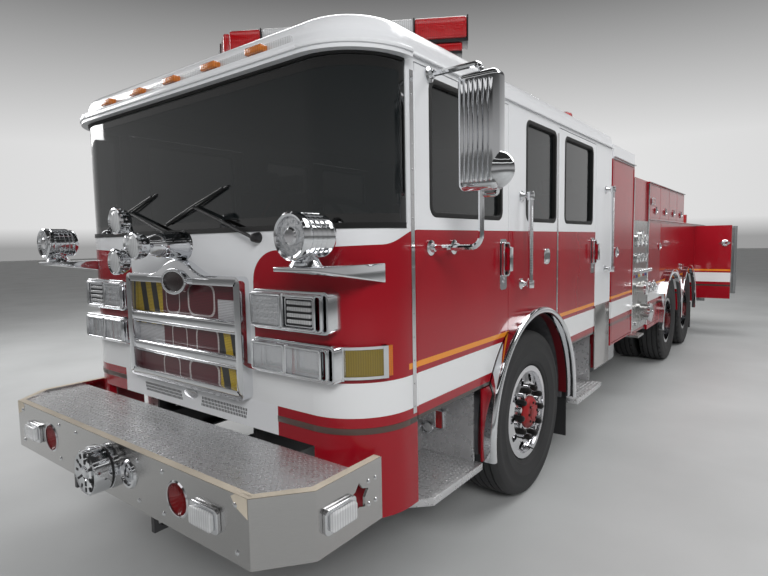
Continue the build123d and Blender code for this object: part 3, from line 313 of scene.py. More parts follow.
class Signal:
    """A number that varies over a surface."""

    def __init__(self, finish, socket):
        self.finish, self.socket = finish, socket

    def maths(self, operation, *others, settings=None):
        values = dict(enumerate((self,) + others))
        return self.finish.node("ShaderNodeMath", dict(settings or {}, operation=operation), values)

    def __add__(self, other):
        return self.maths("ADD", other)

    def __sub__(self, other):
        return self.maths("SUBTRACT", other)

    def __rsub__(self, other):
        return self.finish.node("ShaderNodeMath", {"operation": "SUBTRACT"}, {0: other, 1: self})

    def __mul__(self, other):
        return self.maths("MULTIPLY", other)

    def __truediv__(self, other):
        return self.maths("DIVIDE", other)

    def __abs__(self):
        return self.maths("ABSOLUTE")

    def __gt__(self, other):
        return self.maths("GREATER_THAN", other)

    def __lt__(self, other):
        return self.maths("LESS_THAN", other)

    def __mod__(self, other):
        return self.maths("WRAP", other, 0.0)

    def limited(self):
        return self.maths("ADD", 0.0, settings={"use_clamp": True})

    def between(self, low, high):
        return (self > low) * (self < high)

    def ramp(self, low, high):
        """0 at low and 1 at high, straight between them."""
        return ((self - low) / (high - low)).limited()

    __radd__ = __add__
    __rmul__ = __mul__


class Finish:
    """One material: a Principled shader and the nodes that feed it."""

    def __init__(self, name, colour=(0.8, 0.8, 0.8), roughness=0.5, **sockets):
        self.material = bpy.data.materials.new(name)
        self.material.use_nodes = True
        self.tree = self.material.node_tree
        self.shader = self.tree.nodes["Principled BSDF"]
        self.place = self.node("ShaderNodeTexCoord", output="Object")
        self.set(**{"Base Color": colour, "Roughness": roughness}, **sockets)

    def set(self, **sockets):
        for label, value in sockets.items():
            self.feed(self.shader.inputs[label.replace("_", " ")], value)
        return self

    def feed(self, socket, value):
        if isinstance(value, Signal):
            self.tree.links.new(value.socket, socket)
        elif isinstance(value, (tuple, list)) and len(value) == 3 and len(socket.default_value) == 4:
            socket.default_value = (*value, 1.0)
        else:
            socket.default_value = value

    def node(self, kind, settings=None, inputs=None, output=0):
        made = self.tree.nodes.new(kind)
        for key, value in (settings or {}).items():
            if key == "stops":
                for i, (where, colour) in enumerate(value):
                    stop = made.color_ramp.elements[i] if i < 2 else made.color_ramp.elements.new(where)
                    stop.position, stop.color = where, (*colour, 1.0)
            else:
                setattr(made, key, value)
        for key, value in (inputs or {}).items():
            self.feed(made.inputs[key], value)
        return Signal(self, made.outputs[output])

    def axes(self):
        split = self.node("ShaderNodeSeparateXYZ", inputs={0: self.place})
        outputs = split.socket.node.outputs
        return Signal(self, outputs[0]), Signal(self, outputs[1]), Signal(self, outputs[2])

    def noise(self, scale, detail=3.0, stretch=(1, 1, 1)):
        spot = self.node("ShaderNodeMapping", inputs={"Vector": self.place, "Scale": stretch})
        return self.node("ShaderNodeTexNoise", inputs={"Vector": spot, "Scale": scale, "Detail": detail})

    def blend(self, mask, low, high):
        """The low colour where the mask is 0 and the high colour where it is 1."""
        return self.node("ShaderNodeMix", {"data_type": "RGBA"}, {0: mask, 6: low, 7: high}, output=2)

    def bump(self, height, distance, strength=1.0):
        return self.node("ShaderNodeBump",
                         inputs={"Height": height, "Distance": distance, "Strength": strength})


# %% [markdown]
# The livery is the vehicle's largest finish: gloss red with a white upper cab, a gold
# line over a white band, and a dark strip above the skirt. On the real vehicle the lines
# are tape laid level on the panels, so here the colour depends only on height, with a
# border on the cab's nose that sweeps up from the grille. One formula on the object's
# own coordinates paints every panel alike, and a shut line can't break the stripes.
# %% Livery
RED = (0.34, 0.004, 0.013)
LOWER_RED = (0.31, 0.004, 0.012)
WHITE = (0.80, 0.81, 0.83)
GOLD = (0.80, 0.27, 0.015)
TAPE_WHITE = (0.78, 0.79, 0.80)
TRIM_DARK = (0.055, 0.045, 0.040)
CHEVRON = (0.62, 0.50, 0.02)
BOX_GREY = (0.42, 0.43, 0.44)
GOLD_BAND = (1.106, 1.133)
WHITE_BAND = (0.928, 1.079)
TRIM_BAND = (0.857, 0.884)


def livery(name, belt=False, white_from=None, stripes=True, boxes=False):
    """Gloss paint with stripes; belt adds the white upper cab, boxes the grey insides and the chevrons."""
    paint = Finish(name, RED, 0.30, Coat_Weight=0.5, Coat_Roughness=0.03, Specular_IOR_Level=0.25)
    x, y, z = paint.axes()
    shade = paint.noise(1.7, 2)
    colour = paint.blend(shade.ramp(0.3, 0.7), RED, tuple(c * 0.86 for c in RED))
    # The red below the trim strip is a little darker.
    colour = paint.blend(z < TRIM_BAND[0], colour, LOWER_RED)
    if belt:
        side = abs(x)
        rise = (y - station(-0.20)).ramp(0.0, 0.20)
        nose = side.ramp(0.72, 1.18) * 0.018 + rise * rise * (3.0 - 2.0 * rise) * 0.060 + 1.642
        dip = (0.72 - side).ramp(0.0, 0.17)
        nose = nose - (1.0 - (1.0 - dip * dip).maths("SQRT")) * 0.14
        nose = nose - (side < 0.548) * 0.4
        border = nose + (y > station(-0.002)) * 0.002
        colour = paint.blend(z > border, colour, WHITE)
        valance = (side < 0.69) * (z < 0.93) * (y < station(-0.2))
        rear_panel = (y > station(2.685)) * (z > 1.10)
    else:
        valance = rear_panel = 0.0
    if stripes:
        start = station(-0.06) if belt else station(-9.0)
        gold = z.between(*GOLD_BAND) * (y > start)
        colour = paint.blend(gold, colour, GOLD)
        colour = paint.blend(z.between(*WHITE_BAND), colour, TAPE_WHITE)
        colour = paint.blend(z.between(*TRIM_BAND), colour, TRIM_DARK)
    if belt:
        colour = paint.blend(valance, colour, WHITE)
        colour = paint.blend(rear_panel, colour, WHITE)
    if white_from:
        colour = paint.blend(z > white_from, colour, WHITE)
    if boxes:
        side = abs(x)
        back = y > station(9.396)
        colour = paint.blend(back, colour, RED)
        colour = paint.blend(back * (((side + z) % 0.30) < 0.15), colour, CHEVRON)
        inner = (side < 1.195) * (y > station(3.205)) * (y < station(9.396))
        inner = inner + (side > 1.2235) * (y > station(8.328))
        colour = paint.blend(inner, colour, BOX_GREY)
        paint.set(Metallic=inner * 0.7)
    peel = paint.bump(paint.noise(40, 1), 0.0003, 0.06)
    paint.set(Base_Color=colour, Roughness=paint.noise(9, 4) * 0.08 + 0.18, Normal=peel)
    return paint.material


cab_paint = livery("cab_livery", belt=True)
body_paint = livery("body_livery", boxes=True)
module_paint = livery("module_livery", white_from=2.386, boxes=True)
roof_paint = livery("roof_white", white_from=0.1, stripes=False)

# %% [markdown]
# Bright metal comes in several kinds. Chrome is almost a mirror, with faint smudges.
# Brushed stainless has fine lines in one direction. Tread plate and wheel alloy are
# polished but softer, with small scratches that catch the light.
# %% Bright metals


def chrome(name, colour=(0.80, 0.81, 0.83), low=0.035, high=0.11, scale=6, metallic=1.0):
    metal = Finish(name, colour, low, Metallic=metallic)
    smudge = metal.noise(scale, 4).ramp(0.40, 0.72)
    ripple = metal.bump(metal.noise(22, 1), 0.0006, 0.12)
    metal.set(Roughness=smudge * (high - low) + low, Normal=ripple)
    return metal.material


def brushed(name, colour=(0.60, 0.60, 0.59), stretch=(1, 1, 60), low=0.20, high=0.34):
    metal = Finish(name, colour, low, Metallic=1.0)
    lines = metal.noise(34, 3, stretch)
    cloud = metal.noise(3.0, 3)
    tone = metal.blend(lines.ramp(0.3, 0.7), tuple(c * 0.93 for c in colour), tuple(c * 1.05 for c in colour))
    metal.set(Base_Color=tone, Roughness=cloud * (high - low) + low, Normal=metal.bump(lines, 0.0005, 0.22))
    return metal.material


polish = chrome("polished_chrome")
soft_polish = chrome("soft_polish", (0.74, 0.74, 0.75), 0.10, 0.20, 14)
wheel_polish = chrome("wheel_polish", (0.78, 0.78, 0.80), 0.07, 0.17, 18)
stainless = brushed("stainless_brushed")
stainless_flat = brushed("stainless_level", stretch=(1, 1, 60), colour=(0.56, 0.55, 0.54), low=0.12,
                         high=0.24)
tread_metal = chrome("tread_plate_metal", (0.66, 0.66, 0.67), 0.26, 0.44, 30, 0.7)
aluminium = brushed("aluminium_dull", (0.52, 0.53, 0.54), (1, 60, 1), 0.30, 0.45)

# %% [markdown]
# The rest are quiet finishes: rubber with a little dust, enamel on the frame, cast iron,
# moulded plastics, seat cloth with a weave, and a speckled coating on the cab floor.
# %% Quiet finishes


def plain(name, colour, roughness, grain=60, depth=0.0006, vary=0.12, **sockets):
    coat = Finish(name, colour, roughness, **sockets)
    cloud = coat.noise(grain / 8, 4).ramp(0.3, 0.7)
    tone = coat.blend(cloud, tuple(c * (1 - vary) for c in colour),
                      tuple(min(1.0, c * (1 + vary)) for c in colour))
    grit = coat.bump(coat.noise(grain * 4, 3), depth, 0.5)
    coat.set(Base_Color=tone, Roughness=cloud * 0.10 + roughness - 0.05, Normal=grit)
    return coat.material


rubber = plain("tyre_rubber", (0.030, 0.030, 0.031), 0.72, 40, 0.0010, 0.25)
flap = plain("flap_rubber", (0.022, 0.022, 0.023), 0.62, 50)
frame_enamel = plain("frame_enamel", (0.022, 0.022, 0.024), 0.34, 30)
iron = plain("axle_iron", (0.028, 0.028, 0.028), 0.55, 40, 0.0012)
engine_grey = plain("engine_grey", (0.10, 0.11, 0.12), 0.50, 30, 0.0012)
black_plastic = plain("black_plastic", (0.018, 0.018, 0.019), 0.45, 90)
grey_plastic = plain("grey_plastic", (0.085, 0.088, 0.092), 0.60, 120, 0.0008)
floor_coat = plain("floor_coating", (0.07, 0.07, 0.075), 0.70, 150, 0.0012, 0.3)
# Painted shade: the body red darkened, for the liner in the shade under the wheel crowns.
liner_red = plain("liner_red", (0.10, 0.004, 0.008), 0.45, 30)
seal = plain("window_seal", (0.012, 0.012, 0.012), 0.55, 70)


def cloth(name, colour):
    weave = Finish(name, colour, 0.85, Sheen_Weight=0.25)
    x, y, z = weave.axes()
    threads = ((x * 900).maths("SINE") + (y * 900).maths("SINE") + (z * 900).maths("SINE")) * 0.16 + 0.5
    tone = weave.blend(weave.noise(7, 3).ramp(0.3, 0.7), colour, tuple(c * 1.35 for c in colour))
    weave.set(Base_Color=tone, Normal=weave.bump(threads, 0.0006, 0.5))
    return weave.material


seat_cloth = cloth("seat_cloth", (0.030, 0.031, 0.034))
belt_web = cloth("belt_webbing", (0.30, 0.012, 0.010))

# %% [markdown]
# Glass is a dark tint that stays a little see-through, so that the seats show. The
# windscreen has a black printed border that hides its bonded edge. Lamp lenses are clear,
# red or amber mouldings with fine vertical flutes; their colour darkens along each flute
# as painted shade.
# %% Glass and lenses


def glass(name, tint, alpha, border=None):
    pane = Finish(name, tint, 0.015, Alpha=alpha, Coat_Weight=0.6, Coat_Roughness=0.02,
                  Specular_IOR_Level=0.7)
    x, y, z = pane.axes()
    haze = pane.noise(5, 3).ramp(0.45, 0.8)
    pane.set(Roughness=haze * 0.03 + 0.012)
    if border:
        low, high = border
        edge = ((z < low + 0.045) + (z > high - 0.050) + (y > station(-0.095))) * (y < station(0.3))
        edge = edge.limited()
        pane.set(Alpha=edge * (1 - alpha) + alpha, Base_Color=pane.blend(edge, tint, (0.004, 0.004, 0.004)))
    pane.material.surface_render_method = "DITHERED"
    return pane.material


FLUTES = 440.0


def lens(name, colour, alpha):
    cover = Finish(name, colour, 0.08, Alpha=alpha, Coat_Weight=1.0, Coat_Roughness=0.02)
    x, y, z = cover.axes()
    flute_ridges_and_shade = ((x + y) * FLUTES).maths("SINE") * 0.5 + 0.5
    # Painted shade: the colour darkens along each flute, besides the bump.
    tone = cover.blend(flute_ridges_and_shade, tuple(c * 0.75 for c in colour), colour)
    cover.set(Base_Color=tone, Normal=cover.bump(flute_ridges_and_shade, 0.0012, 0.6))
    return cover.material


screen_glass = glass("screen_glass", (0.006, 0.009, 0.010), 0.72, border=(1.745, 2.43))
side_glass = glass("side_glass", (0.008, 0.010, 0.011), 0.80)
clear_lens = lens("clear_lens", (0.82, 0.84, 0.86), 0.30)
white_lens = lens("white_lens", (0.80, 0.81, 0.82), 0.62)
red_lens = lens("red_lens", (0.55, 0.004, 0.008), 0.80)
# Painted shade: a darkened copy of the red lens, for the horn bells deep in the bumper.
dark_red_lens = lens("dark_red_lens", (0.20, 0.004, 0.006), 0.85)
amber_lens = lens("amber_lens", (0.75, 0.20, 0.006), 0.78)

# %% [markdown]
# Most CAD panels already have the right shape, so they stay and only get their finish.
# %% Finishes on the CAD panels
# A name that ends in _ stands for the left and the right node
PANEL_FINISHES = (
    (cab_paint, "cab_front cab_sides cab_rear_wall door_front_ door_crew_"),
    (roof_paint, "cab_roof"),
    (module_paint, "forward_body tall_door_"),
    (body_paint, "rear_body rear_leaf_fore_"),
    (aluminium, "rear_leaf_aft_ chassis_tanks"),
    (stainless, "pump_panels"),
    (stainless_flat, "front_bumper"),
    (tread_metal, "bumper_deck cab_steps tailboard"),
    (polish, "bumper_fittings rear_fenders grille lamp_housings cab_hardware warning_rotor mirror_"),
    (clear_lens, "lamp_lenses"),
    (red_lens, "body_lamps roof_lights"),
    (screen_glass, "cab_glass"),
    (side_glass, "pane_front_ pane_crew_"),
    (frame_enamel, "chassis_frame"),
    (engine_grey, "powertrain"),
    (iron, "front_axle rear_axles knuckle_ tie_rod"),
    (floor_coat, "cab_floor"),
    (seat_cloth, "cab_interior"),
    (flap, "mudflaps"),
    (rubber, "tyre_front_ tyres_rear_1_ tyres_rear_2_"),
    (wheel_polish, "rim_front_ rims_rear_1_ rims_rear_2_"))
for finish, names in PANEL_FINISHES:
    for name in names.split():
        for side in ("left", "right") if name.endswith("_") else ("",):
            painted(nodes[name + side], finish)
print(len(bpy.data.materials), "finishes")

# %% [markdown]
# The grille is the face of the cab: a deep chrome surround with two broad bars across
# and a crest that rises in the middle to carry a blank oval. A rounded flat ring, given
# depth and then a soft bevel, has the highlights of a real pressing.
# %% Rounded rings and pads


def pad(name, middle, size, radius, depth, axis="y", steps=5):
    """A rounded rectangle across an axis, extruded by depth; middle lies on its first face."""
    across = {"y": (0, 2), "x": (1, 2), "z": (0, 1)}[axis]
    outline = []
    half_a, half_b = size[0] / 2 - radius, size[1] / 2 - radius
    for corner, (sa, sb) in enumerate(((1, 1), (-1, 1), (-1, -1), (1, -1))):
        for i in range(steps + 1):
            angle = pi / 2 * (corner + i / steps)
            outline.append((middle[across[0]] + sa * half_a + radius * cos(angle),
                            middle[across[1]] + sb * half_b + radius * sin(angle)))
    start = middle["xyz".index(axis)]
    return plate(name, outline, axis, start, start + depth)


def ring(name, middle, size, radius, wide, depth, axis="y", bevel=0.0):
    """A rounded rectangular frame: the pad's front is inset and its middle is taken out."""
    thing = pad(name, middle, size, radius, depth, axis)
    index = "xyz".index(axis)
    edit(thing)
    pick(thing, lambda centre, normal: abs(normal[index]) > 0.9)
    bpy.ops.mesh.inset(thickness=wide, depth=0)
    bpy.ops.mesh.bridge_edge_loops()
    done()
    if bevel:
        softened(thing, bevel, 3)
    return thing


FRONT = station(-0.360)
GRILLE_FRONT = station(-0.417)
OVAL_Z = 1.485
surround = ring("surround", (0, GRILLE_FRONT, 1.225), (1.036, 0.590), 0.034, 0.046, 0.060, bevel=0.011)
bars = [surround]
for height in (1.110, 1.280):
    bars.append(box("bar", (-0.49, GRILLE_FRONT + 0.004, height - 0.030),
                    (0.49, GRILLE_FRONT + 0.040, height + 0.030), 0.017, 4))
    bars.append(box("bar_lip", (-0.49, GRILLE_FRONT + 0.022, height - 0.041),
                    (0.49, GRILLE_FRONT + 0.046, height - 0.024), 0.005))
crest_line = [(-0.30, 1.500)]
crest_line += [(x / 100, 1.518 + 0.082 * (0.5 + 0.5 * cos(pi * x / 27))) for x in range(-27, 28, 3)]
crest_line += [(0.30, 1.500)]
crest = plate("crest", crest_line, "y", GRILLE_FRONT - 0.004, FRONT)
bars.append(softened(crest, 0.012, 3))


def oval(name, middle, wide, tall, depth):
    outline = [(middle[0] + wide * cos(2 * pi * i / 40), middle[2] + tall * sin(2 * pi * i / 40))
               for i in range(40)]
    return plate(name, outline, "y", middle[1], middle[1] + depth)


hoop = oval("hoop", (0, GRILLE_FRONT - 0.022, OVAL_Z), 0.112, 0.068, 0.030)
edit(hoop)
pick(hoop, lambda centre, normal: normal.y < -0.9)
bpy.ops.mesh.inset(thickness=0.016, depth=0)
extrude((0, 0.010, 0))
done()
bars.append(softened(hoop, 0.004, 2))
settle(joined("grille_surround", bars), "cab", polish, stands_for=["grille"])
badge = oval("blank_oval", (0, GRILLE_FRONT - 0.015, OVAL_Z), 0.094, 0.050, 0.004)
badge_dark = plain("badge_dark", (0.020, 0.012, 0.012), 0.25, 80)
settle(badge, "cab", badge_dark, bevel=0.0015)

# %% [markdown]
# Behind the bars hangs a perforated screen, painted with a plain geometric pattern of
# dark red panels, pale outlines and yellow and black wedges. It is one thin sheet, and
# the pattern is a formula on its own coordinates. The holes are dark dots of 8 mm pitch,
# painted shade for the dark space seen through the perforations.
# %% Grille screen


def screen_finish():
    sheet = Finish("screen_pattern", (0.10, 0.006, 0.012), 0.35, Coat_Weight=0.5, Coat_Roughness=0.1)
    x, y, z = sheet.axes()
    across, up = x + 0.518, z - 0.93
    colour = (0.095, 0.005, 0.012)
    wedge = (((across * 9.0) + (up * 1.6)) % 1.0) < 0.5
    wedge_tone = sheet.blend(wedge, (0.012, 0.011, 0.010), (0.52, 0.36, 0.012))
    corner = ((across < 0.30) * (up > 0.30) + (across > 0.80) * (up < 0.33)).limited()
    pale = ((across < 0.30) * up.between(0.16, 0.30) + (across > 0.80) * up.between(0.35, 0.47)).limited()
    lines = 0.0
    for middle, height, half_wide, half_tall in ((0.40, 0.46, 0.065, 0.085), (0.66, 0.46, 0.115, 0.085),
                                                 (0.45, 0.24, 0.070, 0.085), (0.70, 0.24, 0.095, 0.085),
                                                 (0.36, 0.08, 0.080, 0.060), (0.66, 0.08, 0.130, 0.060)):
        a, b = abs(across - middle) / half_wide, abs(up - height) / half_tall
        reach = (a.maths("POWER", 4.0) + b.maths("POWER", 4.0))
        lines = reach.between(0.72, 1.15) + lines
    tone = sheet.blend(corner, colour, wedge_tone)
    tone = sheet.blend(pale, tone, (0.50, 0.50, 0.52))
    tone = sheet.blend(lines.limited() * (1.0 - corner), tone, (0.55, 0.50, 0.50))
    # Painted shade: the holes are dark dots, for the dark space behind the screen.
    hole_x, hole_z = (x * 125.0) % 1.0 - 0.5, (z * 125.0) % 1.0 - 0.5
    hole_shade = (hole_x * hole_x + hole_z * hole_z) < 0.06
    sheet.set(Base_Color=sheet.blend(hole_shade, tone, (0.006, 0.004, 0.004)))
    return sheet.material


screen = box("grille_screen", (-0.480, GRILLE_FRONT + 0.047, 0.965), (0.480, GRILLE_FRONT + 0.050, 1.490),
             0.001, 1)
settle(screen, "cab", screen_finish(), "cab_paint")

# %% [markdown]
# Under the grille the white valance breathes through rows of small slots, with a
# blank badge between them. The slots are not cut: each is a black box, painted shade
# for a dark opening. One slot is modelled and then repeated by Array modifiers.
# %% Valance slots
# Painted shade: a black box stands for each slot's dark opening.
slot = box("valance_slots", (0.09, FRONT - 0.002, 0.826), (0.0955, FRONT + 0.004, 0.840), 0.001, 1)
repeated(slot, 30, (0.0125, 0, 0))
repeated(slot, 3, (0.004, 0, 0.018))
slots = joined("valance_slots", [slot, copy_of(slot, "valance_slots_right", MIRROR_X)])
settle(slots, "cab", black_plastic, "cab_paint")
hoop_low = oval("valance_badge", (0, FRONT - 0.005, 0.878), 0.062, 0.026, 0.008)
settle(hoop_low, "cab", polish, bevel=0.002)

# %% [markdown]
# Each side carries two rows of lamps in chrome bezels. A bezel is a rounded body that
# runs back into the skin, with a frame round each cell. The upper row holds a cluster of
# small round reflectors and a lamp of four bright bars; the lower row holds two square
# headlamps, each with a stepped bowl behind a clear lens.
# %% Lamp bezels
ROWS = {"upper": {"x": (0.585, 1.034), "z": (1.300, 1.460), "front": station(-0.415)},
        "lower": {"x": (0.585, 1.062), "z": (1.100, 1.240), "front": station(-0.418)}}


def cells(row):
    x0, x1 = row["x"]
    middle = (x0 + x1) / 2 - 0.012
    return (x0 + 0.006, middle), (middle, x1 - 0.030)


bezel_forms, bowl_forms, lens_forms = [], [], []
for key, row in ROWS.items():
    x0, x1 = row["x"]
    z0, z1 = row["z"]
    front = row["front"]
    shell = ring("bezel", ((x0 + x1) / 2, front, (z0 + z1) / 2), (x1 - x0, z1 - z0), 0.020, 0.012,
                 0.145, bevel=0.006)
    step = ring("bezel_step", ((x0 + x1) / 2 + 0.012, front + 0.016, (z0 + z1) / 2),
                (x1 - x0 + 0.030, z1 - z0 + 0.020), 0.026, 0.016, 0.129, bevel=0.006)
    bezel_forms += [shell, step]
    for a, b in cells(row):
        middle = ((a + b) / 2, front - 0.006, (z0 + z1) / 2)
        bezel_forms.append(ring("cell", middle, (b - a, z1 - z0 - 0.008), 0.014, 0.011, 0.034, bevel=0.004))
        if key == "lower":
            bowl = pad("bowl", (middle[0], front + 0.050, middle[2]), (b - a - 0.018, z1 - z0 - 0.026),
                       0.010, 0.002)
            edit(bowl)
            pick(bowl, lambda centre, normal: normal.y < -0.9)
            for share, depth in ((0.86, 0.016), (0.72, -0.008), (0.60, 0.020)):
                extrude((0, depth, 0))
                bpy.ops.transform.resize(value=(share, 1, share), center_override=middle)
            done()
            bowl_forms.append(bowl)
            lens_forms.append(pad("lens", (middle[0], front + 0.004, middle[2]),
                                  (b - a - 0.020, z1 - z0 - 0.028), 0.010, 0.006))
cluster, bright = cells(ROWS["upper"])
upper_front = ROWS["upper"]["front"]
UPPER_Z = sum(ROWS["upper"]["z"]) / 2
dot = turned("dot", (0, 0, 0), "y",
             [(0.010, 0), (0.010, 0.010), (-0.002, 0.0135), (-0.004, 0.0125), (0.006, 0.004)], 10)
dots = []
for i in range(7):
    for j in range(4):
        where = Vector((cluster[0] + 0.030 + i * 0.031, upper_front + 0.020, 1.334 + j * 0.031))
        dots.append(copy_of(dot, "dot", Matrix.Translation(where)))
bpy.data.objects.remove(dot)
bowl_forms += dots
bowl_forms.append(box("cluster_back", (cluster[0] + 0.012, upper_front + 0.030, 1.312),
                      (cluster[1] - 0.012, upper_front + 0.036, 1.448), 0.002, 1))
lens_forms.append(pad("lens", ((cluster[0] + cluster[1]) / 2, upper_front + 0.002, UPPER_Z),
                      (cluster[1] - cluster[0] - 0.020, 0.128), 0.010, 0.005))
bright_forms = []
for j in range(4):
    height = 1.340 + j * 0.027
    bright_forms.append(box("bright_bar", (bright[0] + 0.034, upper_front - 0.004, height - 0.009),
                            (bright[1] - 0.030, upper_front + 0.016, height + 0.009), 0.006, 3))
back = pad("bright_back", ((bright[0] + bright[1]) / 2, upper_front + 0.010, UPPER_Z),
           (bright[1] - bright[0] - 0.016, 0.140), 0.012, 0.010)
settle_pair("bright_backs", [back], "cab", black_plastic, bevel=0.002)
frame_in = ring("bright_frame", ((bright[0] + bright[1]) / 2, upper_front + 0.002, UPPER_Z),
                (bright[1] - bright[0] - 0.034, 0.126), 0.012, 0.007, 0.012, bevel=0.002)
bezel_forms.append(frame_in)

# %% [markdown]
# The amber signal wraps round the corner behind the lower bezel. Its form is a short
# upright strip spun about the corner's own centre, so it follows the skin exactly. A
# chrome frame holds it, and an amber reflector closes its rear edge.
# %% Turn signals
CORNER = Vector((0.920, station(-0.060), 0))
CORNER_R = 0.300


def wrap(name, z0, z1, start, end, inner, outer, steps=12):
    """A band round the left front corner, between two angles from straight ahead."""
    turn = turn_about(CORNER, radians(start), "z")
    nothing_selected()
    bpy.ops.mesh.primitive_plane_add(size=1)
    strip = added(name)
    for vertex in strip.data.vertices:
        vertex.co = (CORNER.x, CORNER.y - (inner if vertex.co.x < 0 else outer),
                     z0 if vertex.co.y < 0 else z1)
    moved(strip, turn)
    edit_all(strip)
    bpy.ops.mesh.spin(steps=steps, angle=radians(start - end), center=CORNER, axis=(0, 0, 1))
    closed(merge=0.00002)
    return strip


signal_lens = wrap("signal", 1.113, 1.227, 31, 60, CORNER_R - 0.010, CORNER_R + 0.022)
bezel_forms += [wrap("signal_top", 1.227, 1.239, 28, 64, CORNER_R - 0.010, CORNER_R + 0.028),
                wrap("signal_base", 1.101, 1.113, 28, 64, CORNER_R - 0.010, CORNER_R + 0.028),
                wrap("signal_end", 1.101, 1.239, 60, 64, CORNER_R - 0.010, CORNER_R + 0.030, 3),
                wrap("signal_start", 1.098, 1.242, 24, 31, CORNER_R - 0.010, CORNER_R + 0.038, 3)]
reflector = wrap("signal_reflector", 1.106, 1.236, 64, 69, CORNER_R - 0.010, CORNER_R + 0.016, 4)
settle_pair("lamp_bezels", bezel_forms, "cab", polish, stands_for=["lamp_housings"])
settle_pair("lamp_bowls", bowl_forms, "cab", wheel_polish)
settle_pair("lamp_glasses", lens_forms, "cab", clear_lens, "clear_lens", ["lamp_lenses"])
settle_pair("bright_bars", bright_forms, "cab", white_lens, "clear_lens")
olive_lens = lens("olive_lens", (0.24, 0.17, 0.008), 0.90)
settle_pair("turn_signals", [signal_lens], "cab", olive_lens, "clear_lens")
settle_pair("signal_reflectors", [reflector], "cab", amber_lens, "clear_lens")

# %% [markdown]
# A flood lamp stands on a wedge-shaped shelf above each bezel. The drum is turned on a
# lathe in one go, from the rolled rim over the ribs to the domed back. Its glass shows a
# bulb shield and a ring of small reflectors.
# %% Flood lamps
FLOOD = Vector((1.090, 0, 1.697))
FLOOD_FRONT, FLOOD_BACK = station(-0.620), station(-0.440)
lamp_profile = [(0.012, 0.0), (0.012, 0.068), (-0.004, 0.074), (-0.008, 0.082), (0.0, 0.090),
                (0.014, 0.092), (0.026, 0.090), (0.030, 0.083)]
for i in range(4):
    start = 0.034 + i * 0.026
    lamp_profile += [(start, 0.081), (start + 0.003, 0.085), (start + 0.016, 0.085), (start + 0.019, 0.081)]
lamp_profile += [(0.142, 0.083), (0.152, 0.084), (0.166, 0.078), (0.176, 0.062), (0.181, 0.036), (0.182, 0.0)]
flood = turned("flood", (FLOOD.x, FLOOD_FRONT, FLOOD.z), "y", lamp_profile, 40)
stalk = turned("stalk", (FLOOD.x, station(-0.545), 1.583), "z",
               [(0, 0), (0, 0.062), (0.005, 0.064), (0.012, 0.060), (0.034, 0.044), (0.044, 0.034),
                (0.060, 0.030)], 20)
SHELF = [(station(-0.620), 1.583), (station(-0.620), 1.566), (station(-0.100), 1.487),
         (station(-0.100), 1.583)]
shelf = plate("shelf", SHELF, "x", 0.990, 1.192)
fins = []
for i in range(9):
    spoke = box("fin", (FLOOD.x - 0.002, FLOOD_FRONT + 0.034, FLOOD.z + 0.080),
                (FLOOD.x + 0.002, FLOOD_BACK - 0.050, FLOOD.z + 0.0885), 0.001, 1)
    fins.append(moved(spoke, turn_about(FLOOD, radians(-60 + i * 15), "y")))
softened(shelf, 0.003, 2)
settle_pair("flood_lamps", [flood, stalk, shelf] + fins, "cab", polish)
face = turned("flood_glass", (FLOOD.x, FLOOD_FRONT, FLOOD.z), "y",
              [(0.0, 0.0), (-0.002, 0.03), (0.002, 0.055), (0.006, 0.074), (0.011, 0.074)], 32)
settle_pair("flood_glasses", [face], "cab", clear_lens, "clear_lens")
shield = turned("flood_shield", (FLOOD.x, FLOOD_FRONT, FLOOD.z), "y",
                [(-0.004, 0.0), (-0.006, 0.026), (-0.001, 0.034), (0.004, 0.036), (0.010, 0.030)], 24)
bead = turned("bead", (FLOOD.x, FLOOD_FRONT + 0.006, FLOOD.z + 0.053), "y",
              [(-0.004, 0), (-0.003, 0.004), (0.0, 0.0065), (0.004, 0.007)], 8)
beads = ring_of(bead, "beads", 12, (FLOOD.x, FLOOD_FRONT + 0.006, FLOOD.z), "y")
settle_pair("flood_shields", [shield, beads], "cab", wheel_polish)

# %% [markdown]
# In the middle a spinning warning light carries three lamps on a hub. Each lamp is a
# small round shell pierced all round its side, and the whole spider turns on a shaft in
# a bullet-shaped housing.
# %% Warning rotor
HUB_Z, ROTOR_LAMP_R = 1.686, 0.114
ROTOR_FRONT = station(-0.700)
hub_forms = [turned("hub", (0, ROTOR_FRONT, HUB_Z), "y",
                    [(0.030, 0.0), (0.030, 0.030), (0.036, 0.040), (0.060, 0.042), (0.110, 0.036),
                     (0.118, 0.0)], 24)]
lamp_shell = turned("rotor_shell", (0, ROTOR_FRONT, HUB_Z + ROTOR_LAMP_R), "y",
                    [(0.010, 0.0), (0.010, 0.050), (-0.002, 0.056), (0.002, 0.063), (0.014, 0.064),
                     (0.020, 0.059), (0.050, 0.056), (0.064, 0.046), (0.076, 0.022), (0.079, 0.0)], 28)
stud = turned("stud", (0, ROTOR_FRONT + 0.034, HUB_Z + ROTOR_LAMP_R + 0.056), "z",
              [(0.0, 0.006), (0.004, 0.006), (0.005, 0.004), (0.005, 0)], 6)
studs = ring_of(stud, "studs", 14, (0, ROTOR_FRONT + 0.034, HUB_Z + ROTOR_LAMP_R), "y")
arm = box("rotor_arm", (-0.014, ROTOR_FRONT + 0.056, HUB_Z + 0.02),
          (0.014, ROTOR_FRONT + 0.078, HUB_Z + 0.09), 0.006, 3)
spoke_lamp = joined("rotor_lamp", [lamp_shell, studs, arm])
hub_forms.append(ring_of(spoke_lamp, "rotor_lamps", 3, (0, 0, HUB_Z), "y", radians(-22)))
settle(joined("rotor_shells", hub_forms), "rotor", polish, stands_for=["warning_rotor"])
